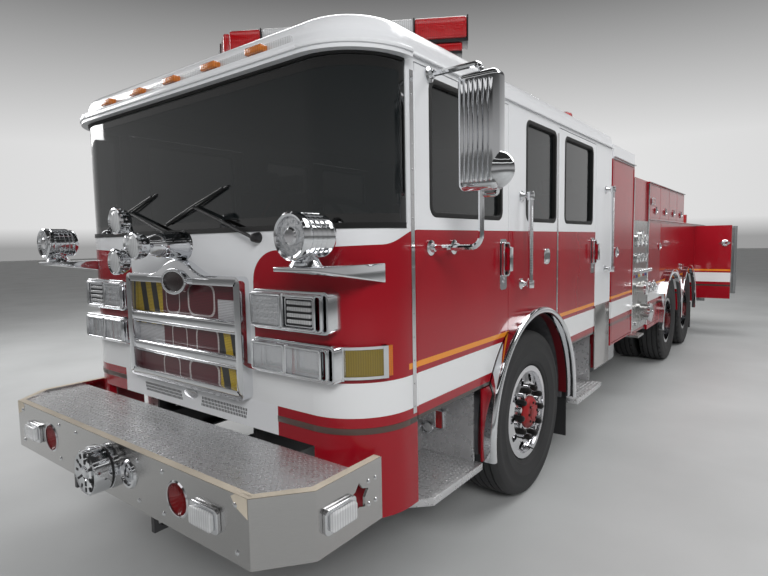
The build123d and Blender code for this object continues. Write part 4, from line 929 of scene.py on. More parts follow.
eye = turned("rotor_eye", (0, ROTOR_FRONT, HUB_Z + ROTOR_LAMP_R), "y",
             [(-0.006, 0.0), (-0.005, 0.024), (0.0, 0.045), (0.004, 0.052), (0.009, 0.052)], 24)
settle(ring_of(eye, "rotor_eyes", 3, (0, 0, HUB_Z), "y", radians(-22)), "rotor", white_lens, "clear_lens")
bullet = turned("rotor_housing", (0, station(-0.572), HUB_Z - 0.014), "y",
                [(0.0, 0.0), (0.0, 0.020), (0.006, 0.034), (0.020, 0.046), (0.060, 0.060), (0.120, 0.068),
                 (0.190, 0.070), (0.212, 0.078), (0.214, 0.0)], 32)
settle(bullet, "cab", polish)

# %% [markdown]
# The wipers park low across the glass: a black arm from a round pivot, and a blade in
# its carrier. A tear-shaped washer cowl sits beside the right pivot.
# %% Wipers
wiper_forms = []
for pivot_x, tip_x in ((-0.02, -0.52), (0.60, 0.12)):
    pivot = Vector((pivot_x, station(-0.395), 1.700))
    tip = Vector((tip_x, station(-0.372), 1.862))
    wiper_forms.append(turned("pivot", (pivot.x, station(-0.362), pivot.z), "y",
                              [(0.01, 0.0), (0.01, 0.026), (-0.012, 0.024), (-0.036, 0.018), (-0.040, 0.0)],
                              16))
    along = (tip - pivot).normalized()
    wiper_forms.append(tube("arm", [pivot, pivot + along * 0.10, tip], 0.0085, 0.02))
    blade_a, blade_b = tip - Vector((0.26, -0.002, 0.075)), tip + Vector((0.24, 0.002, 0.080))
    wiper_forms.append(tube("carrier", [blade_a, tip + Vector((0, -0.010, 0.004)), blade_b], 0.0055, 0.05))
    wiper_forms.append(tube("blade",
                            [blade_a + Vector((-0.03, 0.011, -0.009)),
                             blade_b + Vector((0.03, 0.011, 0.009))], 0.0050, 0))
tear = [(-0.235 + 0.075 * cos(a) * (1.0 if cos(a) < 0 else 1.3), 1.712 + 0.026 * sin(a))
        for a in [2 * pi * i / 28 for i in range(28)]]
wiper_forms.append(plate("cowl", tear, "y", station(-0.364), station(-0.352)))
settle(joined("wipers", wiper_forms), "cab", black_plastic, bevel=0.0015)

# %% [markdown]
# The bumper shell itself comes from the CAD. What makes it real are the fittings: the
# siren drum, two trumpet horns, lamps on moulded bases, dome bolts, and pale protective
# tape along the top edges of a vehicle that is still in the workshop.
# %% Siren
SIREN = Vector((0.045, station(-0.945), 0.655))
BUMPER_FACE = station(-0.830)
siren_profile = [(0.012, 0.0), (0.012, 0.030), (0.004, 0.034), (0.004, 0.090), (-0.000, 0.096),
                 (0.004, 0.101), (0.014, 0.103), (0.076, 0.104), (0.079, 0.099), (0.088, 0.099),
                 (0.091, 0.104), (0.116, 0.106), (0.116, 0.0)]
siren_forms = [turned("siren_drum", SIREN, "y", siren_profile, 48)]
SLOT_RINGS = ((0.050, 6), (0.078, 12))
slot_forms = []
for radius, count in SLOT_RINGS:
    one = box("siren_slot", (SIREN.x - 0.006, SIREN.y + 0.001, SIREN.z + radius - 0.011),
              (SIREN.x + 0.006, SIREN.y + 0.010, SIREN.z + radius + 0.011), 0.0025, 2)
    slot_forms.append(ring_of(one, "siren_slots", count, SIREN, "y"))
boss = turned("siren_boss", SIREN, "y", [(-0.002, 0.0), (0.0, 0.020), (0.006, 0.026), (0.013, 0.026)], 20)
siren_forms.append(boss)
bolt = turned("bolt", (0, 0, 0), "y", [(-0.007, 0.0), (-0.0065, 0.005), (-0.003, 0.0095), (0.0, 0.0115),
                                       (0.001, 0.0115)], 10)
for i in range(8):
    angle = radians(22.5 + 45 * i)
    where = Vector((SIREN.x + 0.098 * cos(angle), SIREN.y + 0.004, SIREN.z + 0.098 * sin(angle)))
    siren_forms.append(copy_of(bolt, "siren_bolt", Matrix.Translation(where) @ Matrix.Scale(0.6, 4)))
lug = box("siren_lug", (SIREN.x - 0.034, SIREN.y + 0.026, SIREN.z + 0.098),
          (SIREN.x + 0.034, SIREN.y + 0.070, SIREN.z + 0.108), 0.003, 2)
siren_forms.append(lug)
grille_horn = turned("grille_horn", (SIREN.x + 0.175, BUMPER_FACE, SIREN.z), "y",
                     [(0.004, 0.0), (0.003, 0.012), (-0.006, 0.016), (-0.006, 0.030), (-0.002, 0.034),
                      (-0.002, 0.046), (-0.010, 0.050), (-0.010, 0.060), (0.0, 0.066)], 32)
siren_forms.append(grille_horn)
settle(joined("siren", siren_forms), "chassis", polish, stands_for=["bumper_fittings"])
settle(joined("siren_slots", slot_forms), "chassis", black_plastic)
band = turned("siren_band", SIREN, "y",
              [(0.0785, 0.095), (0.0785, 0.1005), (0.0885, 0.1005), (0.0885, 0.095)], 48)
settle(band, "chassis", black_plastic)

# %% [markdown]
# The two round holes hold trumpet horns: a flared bell deep inside the shell. Its
# finish is a darkened copy of the red lens, painted shade for the deep throat. The lamps
# beside them are clear fluted domes on chrome bases.
# %% Horns and bumper lamps
HORN_X, HORN_Z, LAMP_X = 0.605, 0.648, 0.806
horn = turned("horn", (HORN_X, BUMPER_FACE, HORN_Z), "y",
              [(0.004, 0.069), (0.010, 0.066), (0.022, 0.056), (0.050, 0.040), (0.100, 0.027),
               (0.170, 0.020), (0.260, 0.019), (0.260, 0.0)], 32)
with_modifier(horn, "SOLIDIFY", thickness=0.003, offset=1)
# Painted shade: the bells take the darkened red lens finish.
settle_pair("horns", [horn], "chassis", dark_red_lens, "red_lens")
rim = turned("horn_rim", (HORN_X, BUMPER_FACE, HORN_Z), "y",
             [(0.004, 0.068), (-0.003, 0.068), (-0.005, 0.072), (0.0, 0.078)], 32)


def fluted_lamp(name, middle, wide, tall, axis, outward):
    """A chrome base and a domed lens, on a skin that faces along an axis."""
    base = pad(name + "_base", middle, (wide, tall), 0.020, outward * 0.018, axis)
    softened(base, 0.004, 3)
    front = list(middle)
    front["xyz".index(axis)] += outward * 0.016
    dome = pad(name + "_dome", front, (wide - 0.030, tall - 0.024), 0.016, outward * 0.024, axis)
    softened(dome, 0.010, 4)
    return base, dome


front_base, front_dome = fluted_lamp("front_marker", (LAMP_X, BUMPER_FACE, 0.642), 0.176, 0.100, "y", -1)
side_base, side_dome = fluted_lamp("side_marker", (1.208, station(-0.528), 0.640), 0.176, 0.100, "x", 1)
screws = []
for x in (0.30, 0.50, 0.985):
    for z in (0.555, 0.735):
        screws.append(copy_of(bolt, "screw", Matrix.Translation((x, BUMPER_FACE, z))))
turn_right = Matrix.Rotation(radians(90), 4, "Z")
for y in (-0.345, -0.300):
    for z in (0.605, 0.700):
        screws.append(copy_of(bolt, "screw", Matrix.Translation((1.208, station(y), z)) @ turn_right))
bpy.data.objects.remove(bolt)
settle_pair("bumper_trim", [rim, front_base, side_base] + screws, "chassis", polish)
settle_pair("bumper_lenses", [front_dome, side_dome], "chassis", white_lens, "clear_lens")

# %% [markdown]
# Tread plate is a rolled sheet with small raised lozenges, each pair crossed like a
# letter V. One pair is modelled and arrayed over the deck, and then the edges of the
# deck cut the field to shape with bisect, as a saw would.
# %% Tread plate
LOZENGE = (0.0250, 0.0084, 0.0032)


def lozenge(name, middle, angle):
    """A low four-sided ridge on a level plate."""
    nothing_selected()
    bpy.ops.mesh.primitive_cube_add(size=1, location=middle)
    ridge = added(name)
    ridge.scale = LOZENGE
    ridge.rotation_euler = (0, 0, radians(angle))
    applied(ridge)
    edit(ridge)
    pick(ridge, lambda centre, normal: normal.z > 0.9)
    bpy.ops.transform.resize(value=(0.45, 0.45, 1))
    pick(ridge, lambda centre, normal: normal.z < -0.9)
    bpy.ops.mesh.delete(type="FACE")
    done()
    return ridge


PITCH = 0.030


def tread_field(name, x0, x1, y0, y1, z, cuts=()):
    """Crossed lozenges over a rectangle; each cut is a point and the normal of what goes."""
    first = lozenge(name, (x0 + PITCH / 2, y0 + PITCH / 2, z), 35)
    second = lozenge(name, (x0 + PITCH, y0 + PITCH, z), -35)
    field = joined(name, [first, second])
    along, across = int((x1 - x0) / PITCH), int((y1 - y0) / PITCH)
    repeated(field, max(1, along), (PITCH, 0, 0))
    repeated(field, max(1, across), (0, PITCH, 0))
    for spot, normal in cuts:
        edit_all(field)
        bpy.ops.mesh.bisect(plane_co=spot, plane_no=normal, clear_outer=True, use_fill=False)
        done()
    return field


DECK_TOP = 0.764
deck_cut = Vector((0.184, -0.150, 0)).normalized()
deck_edge = Vector((1.030, station(-0.795), DECK_TOP))
deck = tread_field("deck_tread", -1.17, 1.17, station(-0.785), station(-0.40), DECK_TOP,
                   [(deck_edge, deck_cut),
                    (Vector((-deck_edge.x, deck_edge.y, DECK_TOP)), Vector((-deck_cut.x, deck_cut.y, 0)))])
settle(deck, "chassis", tread_metal, "tread_plate", angle=20)
shelf = box("deck_shelf", (-0.900, station(-0.399), 0.632), (0.900, station(-0.230), 0.638), 0.001, 1)
settle(shelf, "chassis", tread_metal, "tread_plate")

# %% [markdown]
# Masking tape still covers the bumper's flange and its front corners. It is a thin
# strip of paper that follows the edge, a little uneven and slightly wavy.
# %% Protective tape
tape = plain("masking_tape", (0.62, 0.55, 0.45), 0.80, 40, 0.0008)
FLANGE_TOP = 0.7765
edge_line = [(1.206, station(-0.262)), (1.206, station(-0.642)), (1.054, station(-0.828)),
             (0.0, station(-0.828))]
inner_line = [(1.172, station(-0.262)), (1.172, station(-0.628)), (1.040, station(-0.794)),
              (0.0, station(-0.794))]
strips = []
for i in range(3):
    (a, b), (c, d) = (edge_line[i], edge_line[i + 1]), (inner_line[i], inner_line[i + 1])
    strips.append(plate("tape", [a, b, d, c], "z", FLANGE_TOP, FLANGE_TOP + 0.0012))
strips.append(plate("tape", [(1.052, 0.700), (1.052, 0.777), (0.985, 0.777), (0.960, 0.764),
                             (0.985, 0.730)], "y", BUMPER_FACE - 0.0012, BUMPER_FACE - 0.0002))
tape_piece = both_sides("tape_strips", strips)
with_modifier(tape_piece, "SUBSURF", subdivision_type="SIMPLE", levels=3, render_levels=3)
edit_all(tape_piece)
bpy.ops.mesh.remove_doubles(threshold=0.0001)
done()
settle(tape_piece, "chassis", tape, "stainless")

# %% [markdown]
# The steps under the doors are the same tread plate, so the same field covers them.
# %% Step treads
STEP_BASE, STEP_TOP = 0.400, 0.440
front_cut = Vector((1, -1, 0)).normalized()
front_tread = tread_field("front_tread", 0.835, 1.215, station(0.035), station(0.630), STEP_TOP,
                          [(Vector((1.160, station(0.085), STEP_TOP)), front_cut)])
crew_tread = tread_field("crew_tread", 0.895, 1.262, station(2.132), station(2.748), STEP_TOP)
settle_pair("step_treads", [front_tread, crew_tread], "cab", tread_metal, "tread_plate", angle=20)
tail = tread_field("tail_tread", -1.20, 1.20, station(9.41), station(9.765), 0.560)
settle(tail, "chassis", tread_metal, "tread_plate", angle=20)

# %% [markdown]
# The side windows sit in black rubber seals with rounded corners. A thin ring just
# proud of the panel covers the joint, one for each pane, and rides on its own door.
# %% Window seals
SIDE = 1.220
FOOT = SIDE - 0.001           # where fittings start, just inside the skin
WINDOWS = {"front_door": (0.130, 0.880), "cab": (1.233, 1.746), "crew_door": (1.930, 2.595)}
WINDOW_Z = (1.790, 2.395)
for body, (y0, y1) in WINDOWS.items():
    middle = (SIDE - 0.030, station((y0 + y1) / 2), sum(WINDOW_Z) / 2)
    size = (y1 - y0 + 0.022, WINDOW_Z[1] - WINDOW_Z[0] + 0.022)
    left = ring("seal_" + body, middle, size, 0.056, 0.026, 0.0325, "x", bevel=0.004)
    if body == "cab":
        settle_pair("cab_seals", [left], "cab", seal, "tinted_glass")
        continue
    right = copy_of(left, "seal_" + body + "_right", MIRROR_X)
    settle(left, body + "_left", seal, "tinted_glass")
    settle(right, body + "_right", seal, "tinted_glass")

# %% [markdown]
# The windscreen's black seal runs along its lower edge and follows the corners. It is
# the same spun strip as the turn signals, joined to a straight length across the nose.
# %% Windscreen seal


def nose_strip(name, z0, z1, inner, outer, to=88):
    """A strip along the nose: straight across the front and round both corners."""
    straight = box(name, (-CORNER.x - 0.001, FRONT - outer, z0), (CORNER.x + 0.001, FRONT - inner, z1))
    bend = wrap(name, z0, z1, 0, to, CORNER_R + inner, CORNER_R + outer, 14)
    return joined(name, [straight, bend, copy_of(bend, name, MIRROR_X)])


settle(joined("screen_seal", [nose_strip("screen_seal", 1.728, 1.752, -0.010, 0.004),
                              nose_strip("screen_seal_top", 2.424, 2.440, -0.008, 0.003)]), "cab", seal,
                              "tinted_glass")
trim_tape = plain("trim_tape", (0.090, 0.058, 0.050), 0.35, 60)
trim_bend = wrap("trim_strip", *TRIM_BAND, 0, 90, CORNER_R - 0.004, CORNER_R + 0.003, 14)
trim_front = box("trim_strip", (0.690, FRONT - 0.003, TRIM_BAND[0]),
                 (CORNER.x + 0.001, FRONT + 0.004, TRIM_BAND[1]))
settle_pair("trim_strip", [trim_front, trim_bend], "cab", trim_tape, "cab_paint", bevel=0.001)

# %% [markdown]
# Every door hangs on a full-length stainless hinge. The visible half is a strip on the
# panel in front of the door, with a row of dome screws.
# %% Hinge strips
strip_forms = []
for y, low in ((0.0, 0.900), (1.805, 1.145)):
    strip_forms.append(box("hinge_strip", (FOOT, station(y - 0.034), low),
                           (SIDE + 0.003, station(y - 0.007), 2.400), 0.0012, 1))
    knob = turned("hinge_screw", (SIDE + 0.003, station(y - 0.021), low + 0.03), "x",
                  [(0.0, 0.005), (0.0015, 0.004), (0.0025, 0.0)], 8)
    repeated(knob, int((2.37 - low) / 0.105), (0, 0, 0.105))
    strip_forms.append(knob)
settle_pair("hinge_strips", strip_forms, "cab", soft_polish)

# %% [markdown]
# Grab rails are knurled tubes between cast chrome brackets. The bracket is a foot, a
# neck and a collar; the knurl is a row of fine rings that the light breaks on.
# %% Grab rails


def grab_rail(name, y, z0, z1):
    out = SIDE + 0.062
    forms = [turned(name, (out, station(y), z0 - 0.025), "z",
                    [(0, 0), (0, 0.011), (0.004, 0.0145), (z1 - z0 + 0.046, 0.0145),
                     (z1 - z0 + 0.050, 0.011), (z1 - z0 + 0.050, 0)], 16)]
    for z in (z0, z1):
        forms.append(turned(name, (FOOT, station(y), z), "x",
                            [(0, 0), (0, 0.034), (0.006, 0.034), (0.012, 0.022), (0.030, 0.012),
                             (0.060, 0.012), (0.062, 0)], 16))
        forms.append(turned(name, (out, station(y), z - 0.024), "z",
                            [(0, 0.014), (0, 0.020), (0.004, 0.022), (0.044, 0.022), (0.048, 0.020),
                             (0.048, 0.014)], 16))
    knurl = turned(name, (out, station(y), z0 + 0.060), "z",
                   [(0, 0.0144), (0.003, 0.0158), (0.006, 0.0144)], 12)
    repeated(knurl, int((z1 - z0 - 0.12) / 0.010), (0, 0, 0.010))
    forms.append(knurl)
    return forms


rail_forms = grab_rail("rail_front", 1.150, 1.400, 1.930) + grab_rail("rail_crew", 2.970, 1.400, 2.090)
settle_pair("grab_rails", rail_forms, "cab", polish, stands_for=["cab_hardware"])

# %% [markdown]
# A door handle is a chrome paddle in a cast frame, with a lock below it. The mirror is
# a tall head with a fluted back on two bent arms, and a small round wide-angle glass
# under it. Both ride on the front door, so they swing with it.
# %% Door handles
door_forms = {"front_door": [], "crew_door": []}
recesses = {}
for body, y in (("front_door", 0.895), ("crew_door", 2.607)):
    z = 1.560
    frame_ring = ring("handle_frame", (SIDE + 0.008, station(y), z), (0.078, 0.196), 0.018, 0.010, 0.020,
                      "x", bevel=0.003)
    paddle = box("paddle", (SIDE + 0.046, station(y - 0.017), z - 0.070),
                 (SIDE + 0.058, station(y + 0.017), z + 0.070), 0.006, 3)
    lock = turned("lock", (FOOT, station(y), z - 0.122), "x",
                  [(0, 0.0), (0, 0.017), (0.006, 0.017), (0.010, 0.012), (0.008, 0)], 16)
    backplate = pad("handle_plate", (FOOT, station(y), z - 0.030), (0.088, 0.290), 0.020, 0.005, "x")
    door_forms[body] += [frame_ring, paddle, lock, backplate]
    # Painted shade: a flat dark rubber pad stands for the hollow behind the paddle.
    recesses[body] = pad("handle_recess", (SIDE + 0.003, station(y), z), (0.070, 0.186), 0.014, 0.004, "x")
escutcheon = pad("escutcheon", (FOOT, station(1.575), 1.555), (0.105, 0.105), 0.035, 0.008, "x", 6)
edit(escutcheon)
pick(escutcheon, lambda centre, normal: normal.x > 0.9)
for inward, depth in ((0.012, 0.004), (0.012, -0.006), (0.010, 0.0)):
    bpy.ops.mesh.inset(thickness=inward, depth=depth)
done()
settle_pair("escutcheons", [escutcheon], "cab", polish, bevel=0.002)

# %% Mirrors
MIRROR = Vector((1.480, station(0.120), 0))
HEAD_Z = (1.880, 2.370)
ARM_LOW, ARM_HIGH = 1.640, 2.410
WIDE_X = 1.560
STAY_Y = station(0.330)


def mirror_head():
    low, high = HEAD_Z
    head = box("mirror_head", (MIRROR.x - 0.095, MIRROR.y - 0.050, low),
               (MIRROR.x + 0.095, MIRROR.y + 0.050, high), 0.030, 5)
    forms = [head]
    for i in range(7):
        x = MIRROR.x - 0.066 + 0.022 * i
        depth = 0.052 + 0.006 * cos((i - 3) / 3 * pi / 2)
        flute = turned("flute", (x, MIRROR.y - depth + 0.008, low + 0.030), "z",
                       [(0, 0), (0.006, 0.008), (0.016, 0.0115), (high - low - 0.076, 0.0115),
                        (high - low - 0.066, 0.008), (high - low - 0.060, 0)], 14)
        forms.append(flute)
    return forms


mirror_forms = mirror_head()
wide_angle = turned("wide_angle", (WIDE_X, MIRROR.y - 0.020, 1.960), "y",
                    [(-0.034, 0.0), (-0.030, 0.030), (-0.016, 0.060), (0.0, 0.074), (0.010, 0.077),
                     (0.016, 0.074), (0.016, 0.0)], 28)
mirror_forms.append(wide_angle)
mirror_forms.append(tube("mirror_arm",
                         [(FOOT, MIRROR.y, ARM_LOW), (MIRROR.x, MIRROR.y, ARM_LOW),
                          (MIRROR.x, MIRROR.y, 1.900)], 0.013, 0.055, 6))
mirror_forms.append(tube("mirror_brace",
                         [(FOOT, MIRROR.y, ARM_HIGH), (MIRROR.x, MIRROR.y, ARM_HIGH),
                          (MIRROR.x, MIRROR.y, 2.350)], 0.013, 0.030, 6))
mirror_forms.append(tube("mirror_stay",
                         [(FOOT, STAY_Y, ARM_LOW), (MIRROR.x - 0.160, MIRROR.y + 0.01, ARM_LOW)], 0.008, 0))
mirror_forms.append(tube("wide_angle_arm",
                         [(MIRROR.x, MIRROR.y, 1.860), (WIDE_X, MIRROR.y, 1.860),
                          (WIDE_X, MIRROR.y - 0.01, 1.900)], 0.008, 0.02))
for y, z in ((MIRROR.y, ARM_LOW), (MIRROR.y, ARM_HIGH), (STAY_Y, ARM_LOW)):
    mirror_forms.append(turned("mirror_foot", (FOOT, y, z), "x",
                               [(0, 0), (0, 0.036), (0.008, 0.036), (0.014, 0.022), (0.030, 0.018),
                                (0.034, 0.0)], 18))
door_forms["front_door"] += mirror_forms
reflecting = Finish("mirror_glass", (0.86, 0.87, 0.88), 0.02, Metallic=1.0)
reflecting.set(Roughness=reflecting.noise(6, 3) * 0.02 + 0.008)
glass_main = pad("mirror_glass", (MIRROR.x, MIRROR.y + 0.046, sum(HEAD_Z) / 2), (0.160, 0.450), 0.020, 0.006)
glass_round = turned("round_glass", (WIDE_X, MIRROR.y - 0.004, 1.960), "y",
                     [(0.014, 0.068), (0.018, 0.066), (0.021, 0.040), (0.022, 0.0)], 28)
front_trim = joined("door_trim_front", door_forms["front_door"])
crew_trim = joined("door_trim_crew", door_forms["crew_door"])
on_each_side(front_trim, "door_trim_front", "front_door", polish, stands_for=["mirror"])
on_each_side(crew_trim, "door_trim_crew", "crew_door", polish)
on_each_side(joined("mirror_panes", [glass_main, glass_round]), "mirror_panes", "front_door",
             reflecting.material)
# The dark recess pads are painted shade for the hollows behind the paddles.
for body, recess in recesses.items():
    on_each_side(recess, "handle_recess_" + body, body, flap, "flap_rubber")

# %% [markdown]
# The roof's brow carries a ribbed lens strip with five small marker lamps, and a drip
# rail runs along each side. The light bar is a long angled housing of red and clear
# modules on two tiers, and a beacon stands on each rear corner of the roof.
# %% Brow and drip rails
BROW_FRONT = station(-0.400)
brow_forms = []
for i in range(5):
    brow_forms.append(box("marker", ((i - 2) * 0.33 - 0.056, BROW_FRONT - 0.010, 2.490),
                          ((i - 2) * 0.33 + 0.056, BROW_FRONT + 0.060, 2.522), 0.008, 3))
settle(joined("brow_markers", brow_forms), "cab", amber_lens, "warning_lens")
visor = nose_strip("brow_lip", 2.452, 2.470, 0.030, 0.048, 90)
settle(visor, "cab", roof_paint, "roof_white", bevel=0.004)
brow_strip = box("brow_lens", (-0.86, station(-0.372), 2.492), (0.86, station(-0.352), 2.530), 0.004, 2)
settle(brow_strip, "cab", white_lens, "roof_white")
drip = box("drip_rail", (SIDE - 0.002, station(-0.06), 2.462), (SIDE + 0.016, station(3.152), 2.474), 0.003,
           2)
settle_pair("drip_rails", [drip], "cab", roof_paint, "roof_white")

# %% Light bar
APEX, END = Vector((0.0, station(-0.060), 0)), Vector((1.150, station(0.620), 0))
RUN = (END - APEX).normalized()
BACK = Vector((-RUN.y, RUN.x, 0))
LENGTH = (END - APEX).length
bar_red, bar_clear, bar_base, bar_inside = [], [], [], []


def along_bar(name, a, b, near, far, z0, z1, radius):
    """A box measured along the left half of the angled bar."""
    thing = box(name, (a, near, z0), (b, far, z1), radius, 3)
    basis = Matrix(((RUN.x, BACK.x, 0, APEX.x), (RUN.y, BACK.y, 0, APEX.y), (0, 0, 1, 0), (0, 0, 0, 1)))
    return moved(thing, basis)


DEPTH = 0.140
bar_base.append(along_bar("bar_base", 0.02, LENGTH, 0.008, DEPTH - 0.004, 2.716, 2.734, 0.005))
bar_base.append(along_bar("bar_foot", 0.06, LENGTH - 0.03, 0.024, DEPTH - 0.02, 2.660, 2.674, 0.004))
MODULES = ((0.03, 0.21, "red"), (0.215, 0.42, "clear"), (0.425, 0.63, "clear"), (0.635, 0.84, "red"),
           (0.845, 1.05, "clear"), (1.055, LENGTH - 0.005, "red"))
for a, b, kind in MODULES:
    top = along_bar("module", a, b, 0.004, DEPTH, 2.734, 2.846, 0.014)
    (bar_red if kind == "red" else bar_clear).append(top)
    low = along_bar("module_low", a + 0.02, min(b, LENGTH - 0.03), 0.020, DEPTH - 0.016, 2.674, 2.716, 0.008)
    (bar_red if kind == "red" else bar_clear).append(low)
    for j in range(3):
        middle = a + (b - a) * (j + 0.5) / 3
        bar_inside.append(along_bar("reflector", middle - 0.024, middle + 0.024, 0.030, DEPTH - 0.03, 2.750,
                                    2.812, 0.010))
    bar_base.append(along_bar("joint", b - 0.001, b + 0.006, 0.002, DEPTH + 0.002, 2.716, 2.848, 0.002))
for x in (0.200, 0.900):
    spot = APEX + RUN * (x / RUN.x) + BACK * 0.07
    bar_base.append(box("bar_leg", (spot.x - 0.040, spot.y - 0.040, 2.596),
                        (spot.x + 0.040, spot.y + 0.040, 2.664), 0.008, 3))
settle_pair("bar_red_domes", bar_red, "cab", red_lens, "warning_lens", ["roof_lights"])
settle_pair("bar_clear_domes", bar_clear, "cab", white_lens, "warning_lens")
settle_pair("bar_reflectors", bar_inside, "cab", wheel_polish, "warning_lens")
settle_pair("bar_base", bar_base, "cab", black_plastic, "warning_lens")

# %% Beacons


def beacon(name, x, y, base, tall, radius):
    lower = turned(name, (x, y, base), "z", [(-0.003, 0), (-0.003, radius + 0.012), (0.018, radius + 0.012),
                                             (0.026, radius + 0.004), (0.034, radius), (0.036, 0)], 28)
    dome = turned(name + "_dome", (x, y, base + 0.030), "z",
                  [(0, 0), (0, radius - 0.002), (tall * 0.55, radius - 0.006),
                   (tall * 0.75, radius - 0.016), (tall - 0.035, radius * 0.5), (tall - 0.032, 0)], 28)
    core = turned(name + "_core", (x, y, base + 0.032), "z",
                  [(0, 0), (0, radius * 0.42), (tall * 0.2, radius * 0.3), (tall * 0.4, radius * 0.42),
                   (tall * 0.6, radius * 0.3), (tall * 0.66, 0)], 16)
    return lower, dome, core


roof_base, roof_dome, roof_core = beacon("roof_beacon", 0.880, station(2.880), 2.600, 0.188, 0.080)
settle_pair("roof_beacon_bases", [roof_base, roof_core], "cab", wheel_polish, "warning_lens")
settle_pair("roof_beacon_domes", [roof_dome], "cab", red_lens, "warning_lens")
rear_base, rear_dome, rear_core = beacon("rear_beacon", 1.000, station(8.420), 1.870, 0.168, 0.070)
settle_pair("rear_beacon_bases", [rear_base, rear_core], "chassis", wheel_polish, "red_lens")
settle_pair("rear_beacon_domes", [rear_dome], "chassis", red_lens, "red_lens")

# %% [markdown]
# Inside, six seats face each other. Each cushion and back is a padded form: a box with
# many faces that is puffed out by a few smoothing steps, with its rows of stitching
# pressed in. A red belt crosses each back, and a black frame carries the head rest.
# %% Seats
SEATS = ((0.800, 0.480, 1), (0.770, 1.500, -1), (0.800, 2.560, 1))


def cushion(name, low, high, rows, axis):
    """A padded block: subdivided, pinched along its sewn rows, and rounded."""
    pad_form = box(name, low, high)
    with_modifier(pad_form, "SUBSURF", subdivision_type="SIMPLE", levels=4, render_levels=4)
    low, high = Vector(low), Vector(high)
    middle, half = (low + high) / 2, (high - low) / 2
    thick = min(range(3), key=lambda i: half[i])
    for vertex in pad_form.data.vertices:
        away = [(vertex.co[i] - middle[i]) / half[i] for i in range(3)]
        others = [i for i in range(3) if i != thick]
        crown = (1 - away[others[0]] ** 4) * (1 - away[others[1]] ** 4)
        seam = 1.0
        if rows:
            phase = (away[axis] + 1) / 2 * rows
            seam = 1 - 0.30 * max(0.0, 1 - abs(phase - round(phase)) * 9) * (0 < round(phase) < rows)
        vertex.co[thick] = middle[thick] + half[thick] * away[thick] * (0.70 + 0.30 * crown * seam)
        for i in others:
            pull = 1 - 0.05 * (1 - abs(away[thick]) ** 2) * abs(away[i])
            vertex.co[i] = middle[i] + half[i] * away[i] * pull
    with_modifier(pad_form, "SMOOTH", iterations=2, factor=0.6)
    return pad_form


def one_seat(x, y, face):
    """Cushion and back for a sitter who looks forward; the other way is turned about."""
    seat = cushion("seat_base", (-0.238, -0.250, 1.385), (0.238, 0.250, 1.502), 4, 1)
    back = cushion("seat_back", (-0.228, -0.055, 0.0), (0.228, 0.055, 0.640), 5, 2)
    moved(back, Matrix.Translation((0, 0.290, 1.445)) @ Matrix.Rotation(radians(-9), 4, "X"))
    head = cushion("seat_head", (-0.138, 0.350, 2.085), (0.138, 0.432, 2.218), 0, 0)
    spot = Matrix.Translation((x, station(y), 0)) @ Matrix.Rotation(0 if face > 0 else pi, 4, "Z")
    pads = joined("seat_pads", [seat, back, head])
    moved(pads, spot)
    base = box("seat_pedestal", (-0.178, -0.178, 1.240), (0.178, 0.178, 1.392), 0.012, 2)
    posts = [tube("head_post", [(sx, 0.385, 1.98), (sx, 0.392, 2.10)], 0.006, 0) for sx in (-0.06, 0.06)]
    belt = plate("belt", [(-0.190, 2.020), (-0.145, 2.020), (0.205, 1.540), (0.160, 1.540)], "y", 0.2, 0.203)
    for vertex in belt.data.vertices:
        vertex.co.y += 0.034 + (vertex.co.z - 1.445) * 0.155
    hardware = joined("seat_frame", [base] + posts)
    moved(hardware, spot)
    moved(belt, spot)
    return pads, hardware, belt


seat_number = 0
hardware_forms, belt_forms = [], []
for x, y, face in SEATS:
    pads, hardware, belt = one_seat(x, y, face)
    for change, side in ((Matrix(), "left"), (MIRROR_X, "right")):
        seat_number += 1
        twin = copy_of(pads, "seat_pads_%d" % seat_number, change)
        settle(twin, "cab", seat_cloth, "seat_cloth", angle=80)
        hardware_forms.append(copy_of(hardware, "seat_frame", change))
        belt_forms.append(copy_of(belt, "belt", change))
    for form in (pads, hardware, belt):
        bpy.data.objects.remove(form)
pedestals = []
for x, y, face in SEATS[::2]:
    pedestals.append(box("pedestal", (x - 0.178, station(y) - 0.178, 0.985),
                         (x + 0.178, station(y) + 0.178, 1.250), 0.010, 2))
settle(joined("seat_frames", hardware_forms + [both_sides("pedestals", pedestals)]), "cab", black_plastic,
       "seat_cloth")
settle(joined("seat_belts", belt_forms), "cab", belt_web, "seat_cloth")

# %% [markdown]
# The dashboard is a padded shelf under the windscreen, with a hood over the gauges on
# the driver's side. The wheel is a leather ring on three spokes, tilted on its column.
# %% Dashboard and wheel
DASH_TOP = 1.655
dash_line = [(-1.165, 1.30), (-0.475, 1.30), (-0.475, 1.435), (0.475, 1.435), (0.475, 1.30), (1.165, 1.30),
             (1.165, DASH_TOP - 0.02), (1.10, DASH_TOP), (-1.10, DASH_TOP), (-1.165, DASH_TOP - 0.02)]
dash = plate("dashboard", dash_line, "y", station(-0.060), station(0.035))
softened(dash, 0.020, 3)
shelf_top = plate("dash_shelf", [(-0.92, station(-0.305)), (0.92, station(-0.305)), (1.12, station(-0.16)),
                                 (1.165, station(-0.05)), (-1.165, station(-0.05)),
                                 (-1.12, station(-0.16))], "z", 1.600, DASH_TOP - 0.004)
hood = box("gauge_hood", (0.570, station(-0.140), DASH_TOP - 0.02),
           (1.030, station(0.015), DASH_TOP + 0.055), 0.025, 4)
console = box("tunnel_console", (-0.30, station(0.06), 1.431), (0.30, station(0.50), 1.600), 0.030, 3)
settle(joined("dashboard", [dash, shelf_top, hood, console]), "cab", grey_plastic, "seat_cloth",
       ["cab_interior"])
dial_forms = []
